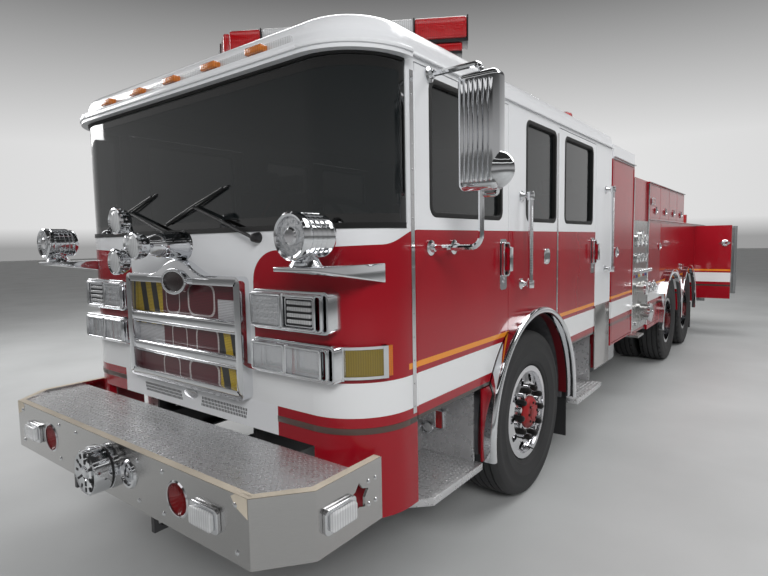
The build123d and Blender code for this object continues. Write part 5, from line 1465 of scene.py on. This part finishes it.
for i in range(4):
    dial_forms.append(turned("dial", (0.650 + i * 0.10, station(0.016), 1.672), "y",
                             [(-0.004, 0.0), (-0.004, 0.032), (0.003, 0.034), (0.005, 0.038), (0.0, 0.041),
                              (-0.006, 0.041)], 20))
settle(joined("dash_dials", dial_forms), "cab", soft_polish, "seat_cloth")
WHEEL = Vector((0.800, station(0.010), 1.640))
tilt = Matrix.Translation(WHEEL) @ Matrix.Rotation(radians(-35), 4, "X")
bpy.ops.mesh.primitive_torus_add(location=(0, 0, 0.130), major_radius=0.215, minor_radius=0.0145,
                                 major_segments=48, minor_segments=12)
wheel_rim = added("wheel_rim")
applied(wheel_rim)
spokes = box("spoke", (0.030, -0.014, 0.122), (0.212, 0.014, 0.134), 0.005, 2)
spokes = ring_of(spokes, "spokes", 3, (0, 0, 0), "z", radians(30))
boss = turned("wheel_boss", (0, 0, -0.16), "z",
              [(0, 0), (0, 0.026), (0.25, 0.026), (0.262, 0.052), (0.296, 0.050), (0.304, 0.036),
               (0.306, 0)], 24)
steering = moved(joined("steering_wheel", [wheel_rim, spokes, boss]), tilt)
settle(steering, "cab", black_plastic, "seat_cloth")

# %% [markdown]
# The crowns over the front wheels are rolled stainless bands. Their section is a
# rounded channel, spun round the hub through the part of a circle that stays above the
# steps. The steps are folded tread plate trays, so this group stands for the CAD steps.
# %% Wheel crowns
TYRE_R = 0.538
AXLE_Y = 1.346
HUB = Vector((1.062, station(AXLE_Y), TYRE_R))
REAR_AXLES = (6.163, 7.528)


def arc_band(name, centre, start, end, section, steps=56):
    """Spins a closed (x, radius) section round a wheel axis, between angles from rearward up."""
    nothing_selected()
    bpy.ops.mesh.primitive_circle_add(vertices=len(section), radius=1, fill_type="NGON")
    band = added(name)
    for vertex, (x, r) in zip(band.data.vertices, section):
        vertex.co = (x, centre.y + r * cos(radians(start)), centre.z + r * sin(radians(start)))
    edit_all(band)
    bpy.ops.mesh.spin(steps=steps, angle=radians(start - end), center=centre, axis=(1, 0, 0))
    closed()
    return band


CROWN_SECTION = [(1.2195, 0.662), (1.2195, 0.700), (1.262, 0.700), (1.274, 0.698), (1.283, 0.692),
                 (1.288, 0.683), (1.288, 0.673), (1.284, 0.664), (1.276, 0.660), (1.266, 0.660),
                 (1.266, 0.664), (1.275, 0.666), (1.279, 0.672), (1.279, 0.681), (1.272, 0.688),
                 (1.258, 0.690), (1.230, 0.690), (1.230, 0.662)]
crown = arc_band("crown", HUB, -4.6, 188.0, CROWN_SECTION)
# Painted shade: the liner under each crown is the body red darkened.
liner = arc_band("crown_liner", HUB, -2.0, 186.0,
                 [(1.160, 0.664), (1.160, 0.672), (1.222, 0.672), (1.222, 0.664)], 40)
settle_pair("wheel_crowns", [crown], "cab", polish, "tread_plate", ["cab_steps"])
settle_pair("crown_liners", [liner], "cab", liner_red, "tread_plate")


def filler_plate(name, y0, y1, z0, z1):
    """A flat panel beside the wheel, cut to the circle of the crown."""
    edge = []
    steps = 14
    for i in range(steps + 1):
        z = z0 + (z1 - z0) * i / steps
        reach = sqrt(max(0.0, 0.690 ** 2 - (z - HUB.z) ** 2))
        edge.append((HUB.y + (reach if y0 > AXLE_Y else -reach), z))
    far = station(y1 if y0 > AXLE_Y else y0)
    return plate(name, edge + [(far, z1), (far, z0)], "x", SIDE - 0.012, FOOT)


settle_pair("fillers_front", [filler_plate("filler_front", 0.640, AXLE_Y, 0.445, 0.855)], "cab", body_paint,
            "tread_plate")
settle_pair("fillers_rear", [filler_plate("filler_rear", 1.347, 2.120, 0.600, 0.854)], "cab", stainless_flat,
            "tread_plate")

# %% Step trays
SKIN = 0.008


def step_tray(name, x0, x1, y0, y1, z0, z1, chamfer):
    """Riser, two cheeks and a folded tread."""
    a, b = station(y0), station(y1)
    nose = [(x1 - 0.110, a), (x1, a + 0.110)] if chamfer else [(x1, a)]
    corner = [(x0, a)] + nose + [(x1, b), (x0, b)]
    forms = [softened(plate(name, corner, "z", z0, z1), 0.004, 2)]
    forms.append(box(name, (x0, a, z1 - 0.002), (x0 + SKIN, b, 0.939)))
    cheek = SIDE - 0.053
    forms.append(box(name, (x0, a, z1 - 0.002), (cheek, a + SKIN, 0.939)))
    forms.append(box(name, (x0, b - SKIN, z1 - 0.002), (cheek, b, 0.939)))
    return forms


trays = step_tray("step_front", 0.820, 1.220, 0.024, 0.640, STEP_BASE, STEP_TOP, True)
trays += step_tray("step_crew", 0.880, 1.270, 2.120, 2.760, STEP_BASE, STEP_TOP, False)
settle_pair("step_trays", trays, "cab", tread_metal, "tread_plate")
riser_lenses, riser_reds, riser_rings = [], [], []
RISER_Z, MARKER_Z = 0.578, 0.640
for x, y in ((0.868, 0.632), (0.930, 2.752)):
    riser_rings.append(turned("riser_ring", (x, station(y), RISER_Z), "y",
                              [(0, 0.040), (-0.010, 0.040), (-0.014, 0.036), (-0.012, 0.031),
                               (-0.004, 0.030), (-0.004, 0)], 24))
    riser_lenses.append(turned("riser_lens", (x, station(y), RISER_Z), "y",
                               [(-0.004, 0.030), (-0.010, 0.026), (-0.013, 0.014), (-0.014, 0)], 24))
    riser_rings.append(ring("marker_bezel", (x + 0.082, station(y) - 0.015, MARKER_Z), (0.064, 0.120),
                            0.016, 0.010, 0.016, bevel=0.003))
    riser_reds.append(pad("marker_lens", (x + 0.082, station(y) - 0.012, MARKER_Z), (0.044, 0.098),
                          0.010, 0.012))
settle_pair("riser_rings", riser_rings, "cab", polish)
settle_pair("riser_lenses", riser_lenses, "cab", white_lens, "clear_lens")
settle_pair("riser_markers", riser_reds, "cab", red_lens, "warning_lens")

# %% [markdown]
# A tyre is turned from its section: bead, bulged side wall with its moulded rings, a
# square shoulder, and a crowned tread. The front tyres have straight ribs; the rear ones
# have lugs, pressed in along both shoulders by pushing every third face inward.
# %% Tyres


def tyre_form(name, centre, width, lugs):
    half, bead = width / 2, width * 0.37 - 0.0003
    side = [(bead, 0.2866), (bead, 0.307), (half * 0.86, 0.318), (half * 0.905, 0.335),
            (half * 0.925, 0.338), (half * 0.93, 0.344), (half * 0.97, 0.370), (half * 0.995, 0.398),
            (half * 1.0, 0.402), (half * 1.0, 0.408), (half * 0.992, 0.412), (half * 0.985, 0.445),
            (half * 0.975, 0.470), (half * 0.985, 0.474), (half * 0.96, 0.492), (half * 0.915, 0.514),
            (half * 0.885, 0.521), (half * 0.80, 0.5275), (half * 0.775, 0.531)]
    grooves = (0.62, 0.22) if lugs else (0.60, 0.31, 0.0)
    wide, deep = (0.013, 0.015) if lugs else (0.011, 0.013)
    tread = []
    for share in grooves:
        x, r = half * share, TYRE_R - 0.005 * share * share
        floor_end = x - wide / 2 + 0.003
        tread += [(x + wide / 2, r), (x + wide / 2 - 0.003, r - deep),
                  (floor_end if share else max(floor_end, 0.0), r - deep)]
        if share:
            tread.append((x - wide / 2, r))
    right = side + tread
    left = [(-x, r) for x, r in reversed(right) if x > 0 or right[-1][0] > 0]
    profile = right + left + [right[0]]
    tyre = turned(name, centre, "x", profile, 96)
    edit(tyre)
    middle = Vector(centre)
    shoulder = (0.66, 0.90) if lugs else (0.66, 0.76)

    def notch(spot, normal):
        out = spot - middle
        reach = sqrt(out.y ** 2 + out.z ** 2)
        turn = int((atan2(out.z, out.y) / (2 * pi) + 0.5) * 96)
        on_shoulder = shoulder[0] < abs(out.x) / half < shoulder[1]
        return turn % 3 == 0 and reach > 0.5265 and on_shoulder and abs(normal.x) < 0.9

    if lugs:
        pick(tyre, notch)
        bpy.ops.mesh.extrude_region_shrink_fatten(TRANSFORM_OT_shrink_fatten={"value": -0.010})
    done()
    return tyre


# %% [markdown]
# The polished discs come with the frame. Long dark nuts stand on their bolt circle, the
# red hub flange with its own small bolts fills the middle, and each rim gets a valve.
# %% Wheels and hubs
hub_red = Finish("hub_red", (0.30, 0.012, 0.014), 0.42)
hub_red.set(Roughness=hub_red.noise(26, 3) * 0.25 + 0.30,
            Base_Color=hub_red.blend(hub_red.noise(14, 4).ramp(0.45, 0.75), (0.32, 0.012, 0.014),
                                     (0.10, 0.02, 0.018)))
nut_metal = Finish("nut_metal", (0.035, 0.034, 0.034), 0.38, Metallic=0.8)
NUT_CIRCLE = 0.160


def hub_parts(name, centre, nut_x, nut_end, hub_x, hub_end, hub_r):
    """Nuts, hub flange with its bolts, and a valve, all measured from the hub's middle."""
    c = Vector(centre)
    nut = turned(name, (c.x + nut_x, c.y, c.z + NUT_CIRCLE), "x",
                 [(0, 0), (0, 0.025), (0.005, 0.025), (0.006, 0.0205), (nut_end - nut_x - 0.012, 0.0195),
                  (nut_end - nut_x - 0.004, 0.015), (nut_end - nut_x, 0.008), (nut_end - nut_x, 0)], 12)
    nuts = ring_of(nut, name + "_nuts", 10, c, "x", radians(18))
    flange = turned(name + "_flange", (c.x, c.y, c.z), "x",
                    [(hub_x, 0), (hub_x, hub_r + 0.006), (hub_x + 0.010, hub_r + 0.006),
                     (hub_x + 0.014, hub_r), (hub_end - 0.014, hub_r - 0.004),
                     (hub_end - 0.004, hub_r - 0.014), (hub_end, hub_r - 0.028), (hub_end, hub_r * 0.45),
                     (hub_end + 0.006, hub_r * 0.42), (hub_end + 0.008, hub_r * 0.30),
                     (hub_end + 0.008, 0)], 40)
    bolt = turned(name + "_bolt", (c.x + hub_end - 0.002, c.y, c.z + hub_r * 0.66), "x",
                  [(0, 0), (0, 0.0085), (0.008, 0.0085), (0.010, 0.006), (0.010, 0)], 6)
    bolts = ring_of(bolt, name + "_bolts", 8, c, "x")
    stem = tube(name + "_valve",
                [(c.x + nut_x + 0.008, c.y, c.z - 0.236), (c.x + nut_x + 0.052, c.y, c.z - 0.244)], 0.0045)
    return [nuts, bolts, stem], flange


DUAL_X = (1.073, 0.733)
wheel_sets = [("front_wheel", [(HUB, 0.312, False)], HUB, (0.114, 0.172, 0.130, 0.163, 0.100), "tyre_front")]
for number, y in enumerate(REAR_AXLES, 1):
    outer, inner = (Vector((x, station(y), TYRE_R)) for x in DUAL_X)
    wheel_sets.append(("rear_duals_%d" % number, [(outer, 0.290, True), (inner, 0.290, True)],
                       (outer + inner) / 2, (0.010, 0.072, 0.058, 0.226, 0.104), "tyres_rear_%d" % number))
for body, tyres, centre, sizes, node in wheel_sets:
    rubber_forms = [tyre_form(body + "_tyre", spot, width, lugs) for spot, width, lugs in tyres]
    nuts, flange = hub_parts(body, centre, *sizes)
    on_each_side(joined(body + "_tyres", rubber_forms), body + "_tyres", body, rubber, "tyre_rubber", [node])
    on_each_side(joined(body + "_nuts", nuts), body + "_nuts", body, nut_metal.material, "wheel_alloy")
    on_each_side(flange, flange.name, body, hub_red.material, "wheel_alloy")

# %% [markdown]
# Behind the front wheel the cab's lower corner is a bare stainless panel with a folded
# edge. The equipment module and the rear body get the trim that a body shop adds last:
# gutters over the doors, polished edges beside the pump panel, and D-ring latches.
# %% Side trim
corner_panel = box("corner_panel", (SIDE + 0.0004, station(2.700), 0.552),
                   (SIDE + 0.0030, station(3.140), 1.098), 0.001, 2)
corner_fold = box("corner_fold", (SIDE + 0.0004, station(2.686), 0.552),
                  (SIDE + 0.0090, station(2.702), 1.098), 0.003, 2)
settle_pair("corner_panels", [corner_panel, corner_fold], "cab", stainless_flat)

gutters = [box("gutter", (SIDE - 0.004, station(y0), z), (SIDE + 0.020, station(y1), z + 0.010), 0.003, 2)
           for y0, y1, z in ((3.204, 4.006, 2.394), (4.764, 7.096, 2.284), (4.764, 9.396, 1.866))]
edges = [box("panel_edge", (SIDE - 0.020, station(y), 0.665),
             (SIDE + 0.004, station(y + 0.022), 2.280), 0.004, 2) for y in (4.013, 4.736)]
settle_pair("body_gutters", gutters + edges, "chassis", soft_polish)

LATCH_Z, LEAF_X = 1.560, 1.647


def ring_latch(name, spot, axis="x", size=0.048, away=1):
    """A pressed dish with a D-shaped ring folded down into it."""
    spot = Vector(spot)
    section = [(0, 0), (0, size), (0.009, size + 0.002), (0.013, size - 0.004), (0.012, size - 0.010),
               (0.0095, size - 0.014), (0.0095, 0)]
    dish = turned(name, spot, axis, [(away * a, r) for a, r in section], 28)
    reach, out = size * 0.72, 0.016 * away
    half = [(-reach, reach * 0.5), (-reach, -reach * 0.2), (-reach * 0.5, -reach * 0.9)]
    letter = half + [(-a, b) for a, b in reversed(half)]
    loop = [spot + Vector((out, a, b) if axis == "x" else (a, out, b)) for a, b in letter]
    bail = tube(name + "_ring", loop + [loop[0]], 0.0045, 0.008, 2)
    return [dish, bail]


tall_latch = joined("tall_latch", ring_latch("tall_latch", (SIDE, station(3.340), 1.540)))
on_each_side(tall_latch, "tall_latch", "tall_door", polish)
leaf_forms = ring_latch("leaf_latch", (LEAF_X, station(8.2880), LATCH_Z), "y", 0.050, -1)
DIAMOND = ((-0.084, 0), (0, -0.056), (0.084, 0), (0, 0.056))
diamond = plate("leaf_diamond", [(LEAF_X + a, LATCH_Z + b) for a, b in DIAMOND], "y", station(8.2830),
                station(8.2898))
leaf_forms.append(softened(diamond, 0.002, 2))
on_each_side(joined("leaf_latch", leaf_forms), "leaf_latch", "rear_leaf_fore", polish)
latches = ring_latch("body_latch", (SIDE + 0.004, station(5.340), LATCH_Z), size=0.044)
for i in range(4):
    latches += ring_latch("body_latch", (SIDE + 0.004, station(4.800 + i * 0.575 + 0.275), 1.985), size=0.044)
settle_pair("body_latches", latches, "chassis", polish)

# %% [markdown]
# The open rear doors are folded trays: an outer skin with a grey inner pan. The pan is
# stiffened by ribs, and black brackets for the hold-open arms are screwed to it.
# %% Inside of the open doors
for leaf, y_skin, away in (("rear_leaf_fore", 8.330, 1), ("rear_leaf_aft", 9.290, -1)):
    pan, black = [], []
    near, far = station(y_skin), station(y_skin) + away * 0.010
    low, high = min(near, far), max(near, far)
    pan.append(ring("door_pan", (1.478, low, 1.250), (0.480, 1.150), 0.020, 0.030, high - low, "y",
                    bevel=0.002))
    pan += [box("door_rib", (1.262, low, z - 0.020), (1.694, high, z + 0.020), 0.004, 2)
            for z in (0.98, 1.52)]
    black.append(box("arm_bracket", (1.300, min(near, near + away * 0.030), 1.700),
                     (1.352, max(near, near + away * 0.030), 1.790), 0.005, 2))
    black.append(box("latch_case", (1.600, min(near, near + away * 0.034), 1.180),
                     (1.660, max(near, near + away * 0.034), 1.320), 0.006, 2))
    rod_y = near + away * 0.0155
    black.append(tube("latch_rod", [(1.630, rod_y, 0.720), (1.630, rod_y, 1.780)], 0.006, 0))
    on_each_side(joined(leaf + "_pan", pan), leaf + "_pan", leaf, aluminium, "body_red")
    on_each_side(joined(leaf + "_black", black), leaf + "_fittings", leaf, black_plastic, "body_red")

# %% [markdown]
# A pump panel is read at a glance: two large gauges with a third between them, four
# small ones below, a row of pull handles with coloured tags, and capped couplings. The
# dials carry plain scales of thirteen ticks and a needle.
# %% Pump panel
DIALS = ((4.200, 1.640, 0.062), (4.385, 1.660, 0.078), (4.570, 1.640, 0.062), (4.180, 1.450, 0.044),
         (4.320, 1.450, 0.044), (4.450, 1.450, 0.044), (4.590, 1.450, 0.044))
DIAL_X = 1.2285
rims, faces, inks = [], [], []
for number, (y, z, r) in enumerate(DIALS):
    spot = (DIAL_X, station(y), z)
    rims.append(turned("dial_rim", spot, "x",
                       [(-0.002, r), (-0.002, r + 0.008), (0.004, r + 0.008), (0.009, r + 0.003),
                        (0.010, r - 0.003), (0.006, r - 0.008), (-0.002, r - 0.008)], 36))
    faces.append(turned("dial_face", spot, "x",
                        [(-0.001, 0), (-0.001, r - 0.007), (0.001, r - 0.007), (0.001, 0)], 32))
    ticks = []
    for i in range(13):
        tick = box("tick", (DIAL_X + 0.0008, station(y) - r * 0.018, z + r * 0.62),
                   (DIAL_X + 0.0016, station(y) + r * 0.018, z + r * 0.80))
        ticks.append(moved(tick, turn_about(spot, radians(-135 + i * 22.5), "x")))
    needle = box("needle", (DIAL_X + 0.0018, station(y) - r * 0.03, z - r * 0.18),
                 (DIAL_X + 0.0030, station(y) + r * 0.03, z + r * 0.66))
    ticks.append(moved(needle, turn_about(spot, radians(-120 + number * 9), "x")))
    ticks.append(turned("needle_cap", spot, "x",
                        [(0.001, 0), (0.001, r * 0.10), (0.004, r * 0.09), (0.0045, 0)], 16))
    inks += ticks
dial_white = plain("dial_white", (0.78, 0.78, 0.76), 0.40, 90)
settle_pair("pump_dial_rims", rims, "chassis", polish)
settle_pair("pump_dial_faces", faces, "chassis", dial_white)
settle_pair("pump_dial_ink", inks, "chassis", black_plastic)

handles, tags = [], {"red": [], "blue": [], "yellow": [], "white": []}
FACE_X = 1.214
for i, colour in enumerate(("red", "blue", "yellow", "white", "red", "blue")):
    y, z = station(4.120 + i * 0.106), 1.310
    handles.append(turned("pull_handle", (FACE_X, y, z), "x",
                          [(0, 0), (0, 0.016), (0.006, 0.016), (0.008, 0.007), (0.046, 0.007),
                           (0.048, 0.018), (0.056, 0.022), (0.066, 0.020), (0.070, 0.012), (0.071, 0)], 20))
    tags[colour].append(pad("tag", (FACE_X, y, z - 0.052), (0.074, 0.030), 0.004, 0.003, "x"))
for y in (4.120, 4.385, 4.650):
    handles.append(turned("bleeder", (FACE_X, station(y), 0.760), "x",
                          [(0, 0), (0, 0.014), (0.016, 0.014), (0.018, 0.020), (0.030, 0.020), (0.032, 0)],
                          12))
settle_pair("pump_handles", handles, "chassis", polish)
TAG_COLOURS = {"red": (0.45, 0.010, 0.012), "blue": (0.015, 0.05, 0.30), "yellow": (0.70, 0.45, 0.010),
               "white": (0.75, 0.75, 0.75)}
for colour, forms in tags.items():
    settle_pair("tags_" + colour, forms, "chassis", plain("tag_" + colour, TAG_COLOURS[colour], 0.35, 80))


def cap(name, x, y, z, r, ears):
    """A coupling cap: a drum with ears to turn it by and a small boss."""
    drum = turned(name, (x, y, z), "x", [(-0.026, r + 0.001), (-0.026, r + 0.010), (-0.004, r + 0.010),
                                         (0.000, r + 0.006), (0.006, r * 0.80), (0.009, r * 0.35),
                                         (0.015, r * 0.30), (0.017, r * 0.12), (0.017, 0)], 40)
    ear = box(name + "_ear", (x - 0.022, y - r * 0.13, z + r + 0.004),
              (x - 0.006, y + r * 0.13, z + r + 0.030), 0.005, 2)
    return [drum, ring_of(ear, name + "_ears", ears, (x, y, z), "x", radians(20))]


caps = []
for sign, shift in ((1, 0.0), (-1, -0.040)):
    forms = cap("suction_cap", 1.3405, station(4.385 + shift), 0.860, 0.084, 2)
    for y in (4.180, 4.385, 4.590):
        forms += cap("outlet_cap", 1.3305, station(y + shift), 1.130, 0.042, 3)
    side_caps = joined("caps", forms)
    caps.append(side_caps if sign > 0 else moved(side_caps, MIRROR_X))
    if sign < 0:
        side_caps.data.flip_normals()
settle(joined("coupling_caps", caps), "chassis", polish)

# %% [markdown]
# The hose bed has an open floor of aluminium slats, so that wet hose can dry, and two
# upright dividers. At the back there are grab rails, framed tail lamps and edge trim.
# %% Hose bed and rear face
slats = [box("slat", (x - 0.034, station(4.830), 1.401), (x + 0.034, station(9.380), 1.421), 0.004, 2)
         for x in [-0.540 + i * 0.108 for i in range(11)]]
for x in (-0.220, 0.220):
    wall = plate("divider", [(station(4.900), 1.424), (station(4.900), 1.760), (station(9.000), 1.760),
                             (station(9.300), 1.640), (station(9.300), 1.424)], "x", x - 0.004, x + 0.004)
    slats.append(wall)
settle(joined("hose_bed_floor", slats), "chassis", aluminium, "body_red")
REAR = station(9.400)
RAIL_X, RAIL_LOW, RAIL_HIGH = 0.720, 0.760, 1.760
rails = [tube("rear_rail", [(RAIL_X, REAR, RAIL_LOW), (RAIL_X, REAR + 0.080, RAIL_LOW),
                            (RAIL_X, REAR + 0.080, RAIL_HIGH), (RAIL_X, REAR, RAIL_HIGH)], 0.016, 0.040, 5)]
for z in (RAIL_LOW, RAIL_HIGH):
    rails.append(turned("rail_foot", (RAIL_X, REAR, z), "y",
                        [(0, 0), (0, 0.034), (0.006, 0.034), (0.010, 0.022), (0.026, 0.020), (0.026, 0)],
                        24))
frames, TAIL_X = [], 1.080
for z, high in ((1.000, 0.170), (1.200, 0.170), (1.400, 0.130)):
    frames.append(ring("tail_frame", (TAIL_X, REAR + 0.0005, z), (0.220, high + 0.020), 0.022, 0.014, 0.038,
                       "y", bevel=0.004))
settle_pair("rear_rails", rails + frames, "chassis", polish)
amber = pad("tail_amber", (TAIL_X, REAR + 0.0302, 1.200), (0.186, 0.150), 0.012, 0.006)
clear = pad("tail_clear", (TAIL_X, REAR + 0.0302, 1.400), (0.186, 0.112), 0.012, 0.006)
settle_pair("tail_ambers", [amber], "chassis", amber_lens, "red_lens")
settle_pair("tail_clears", [clear], "chassis", white_lens, "red_lens")
marker_frames = []
for y, z in ((4.900, 2.084), (7.000, 1.240)):
    marker_frames.append(ring("marker_frame", (SIDE + 0.0005, station(y), z), (0.168, 0.078), 0.016, 0.010,
                              0.018, "x", bevel=0.003))
settle_pair("marker_frames", marker_frames, "chassis", polish)
tail_edge = box("tail_edge", (-1.214, station(9.7805), 0.452), (1.214, station(9.7865), 0.500), 0.002, 2)
settle(tail_edge, "chassis", polish, "tread_plate")

# %% [markdown]
# A rolled bead closes the outer edge of each polished fender over the tandem wheels.
# %% Fender beads
beads = []
for y, start, end in zip(REAR_AXLES, (14.5, -2.0), (182.0, 165.5)):
    bead_ring = [(1.268 + 0.008 * cos(radians(45 * i)), 0.697 + 0.008 * sin(radians(45 * i)))
                 for i in range(8)]
    beads.append(arc_band("fender_bead", Vector((HUB.x, station(y), TYRE_R)), start, end, bead_ring, 48))
settle_pair("fender_beads", beads, "chassis", polish, angle=60)

# %% [markdown]
# The studio is plain: a pale floor and a surround that metal and glass can reflect, with
# light walls, a dark ceiling and two rings of strip lights. The end behind the camera is
# darker than the far end, so the paint facing the camera keeps its depth.
# %% Floor and surround
nothing_selected()
bpy.ops.mesh.primitive_plane_add(size=160, location=(0, 0, 0))
floor = added("studio_floor")
concrete = Finish("pale_floor", (0.50, 0.51, 0.51), 0.55)
tone = concrete.noise(0.8, 5)
concrete.set(Base_Color=concrete.blend(tone.ramp(0.3, 0.7), (0.46, 0.47, 0.47), (0.54, 0.55, 0.55)),
             Roughness=concrete.noise(2.5, 4) * 0.2 + 0.38)
floor.data.materials.append(concrete.material)


class Surround(Finish):
    """The world's nodes, written with the same signals as the finishes."""

    def __init__(self, world):
        self.tree = world.node_tree
        self.shader = self.tree.nodes["Background"]
        self.place = self.node("ShaderNodeTexCoord", output="Generated")


world = bpy.data.worlds.new("studio")
bpy.context.scene.world = world
world.use_nodes = True
hall = Surround(world)
across, along, up = hall.axes()
far_end = (along * 0.79 - across * 0.61).ramp(0.1, 0.95)
wall = (up.ramp(0.0, 0.03) * 0.42 + 0.36) * (far_end * 0.55 + 0.45)
strips = up.between(0.50, 0.56) * 0.85 + up.between(0.76, 0.80) * 0.6
hall.set(Color=wall * (1.0 - up.ramp(0.16, 0.44) * 0.92) + strips)

# %% [markdown]
# The lamps stand where a workshop's strip lights would hang: a large one ahead and to
# the left, a long one above, and two weaker ones on the far side and behind, so that the
# vehicle also reads well from its other sides.
# %% Lamps


def lamp(name, place, target, size, power):
    bpy.ops.object.light_add(type="AREA", location=place)
    light = bpy.context.object
    light.name = name
    light.data.shape = "RECTANGLE"
    light.data.size, light.data.size_y = size
    light.data.energy = power
    light.rotation_euler = (Vector(target) - Vector(place)).to_track_quat("-Z", "Y").to_euler()
    return light


lamp("ahead_left", (7.5, -10.5, 6.5), (0.6, -3.0, 1.2), (5.0, 3.0), 620).visible_glossy = False
lamp("overhead", (0.5, 0.5, 7.5), (0.0, 0.5, 0.0), (4.0, 14.0), 800)
lamp("far_side", (-8.0, -6.0, 5.0), (0.0, -2.0, 1.0), (4.0, 3.0), 240)
lamp("behind", (-7.0, 12.0, 6.0), (0.0, 3.0, 1.0), (5.0, 3.0), 420)

# %% [markdown]
# The camera stands at the place that the photograph was taken from, found by fitting
# the tyre size, the cab's width and the straight stripes.
# %% Camera
EYE = Vector((2.5527, -6.3921, 1.6703))
RIGHT = Vector((0.79483, 0.60659, -0.01733))
UP = Vector((-0.03808, 0.07836, 0.99620))
AHEAD = Vector((-0.60564, 0.79114, -0.08538))
bpy.ops.object.camera_add(location=EYE)
camera = bpy.context.object
camera.matrix_world = Matrix((
    (RIGHT.x, UP.x, -AHEAD.x, EYE.x), (RIGHT.y, UP.y, -AHEAD.y, EYE.y),
    (RIGHT.z, UP.z, -AHEAD.z, EYE.z), (0, 0, 0, 1)))
camera.data.lens = 25.18
camera.data.sensor_width = 36.0
camera.data.clip_end = 300
bpy.context.scene.camera = camera
bpy.context.scene.view_settings.view_transform = "Standard"
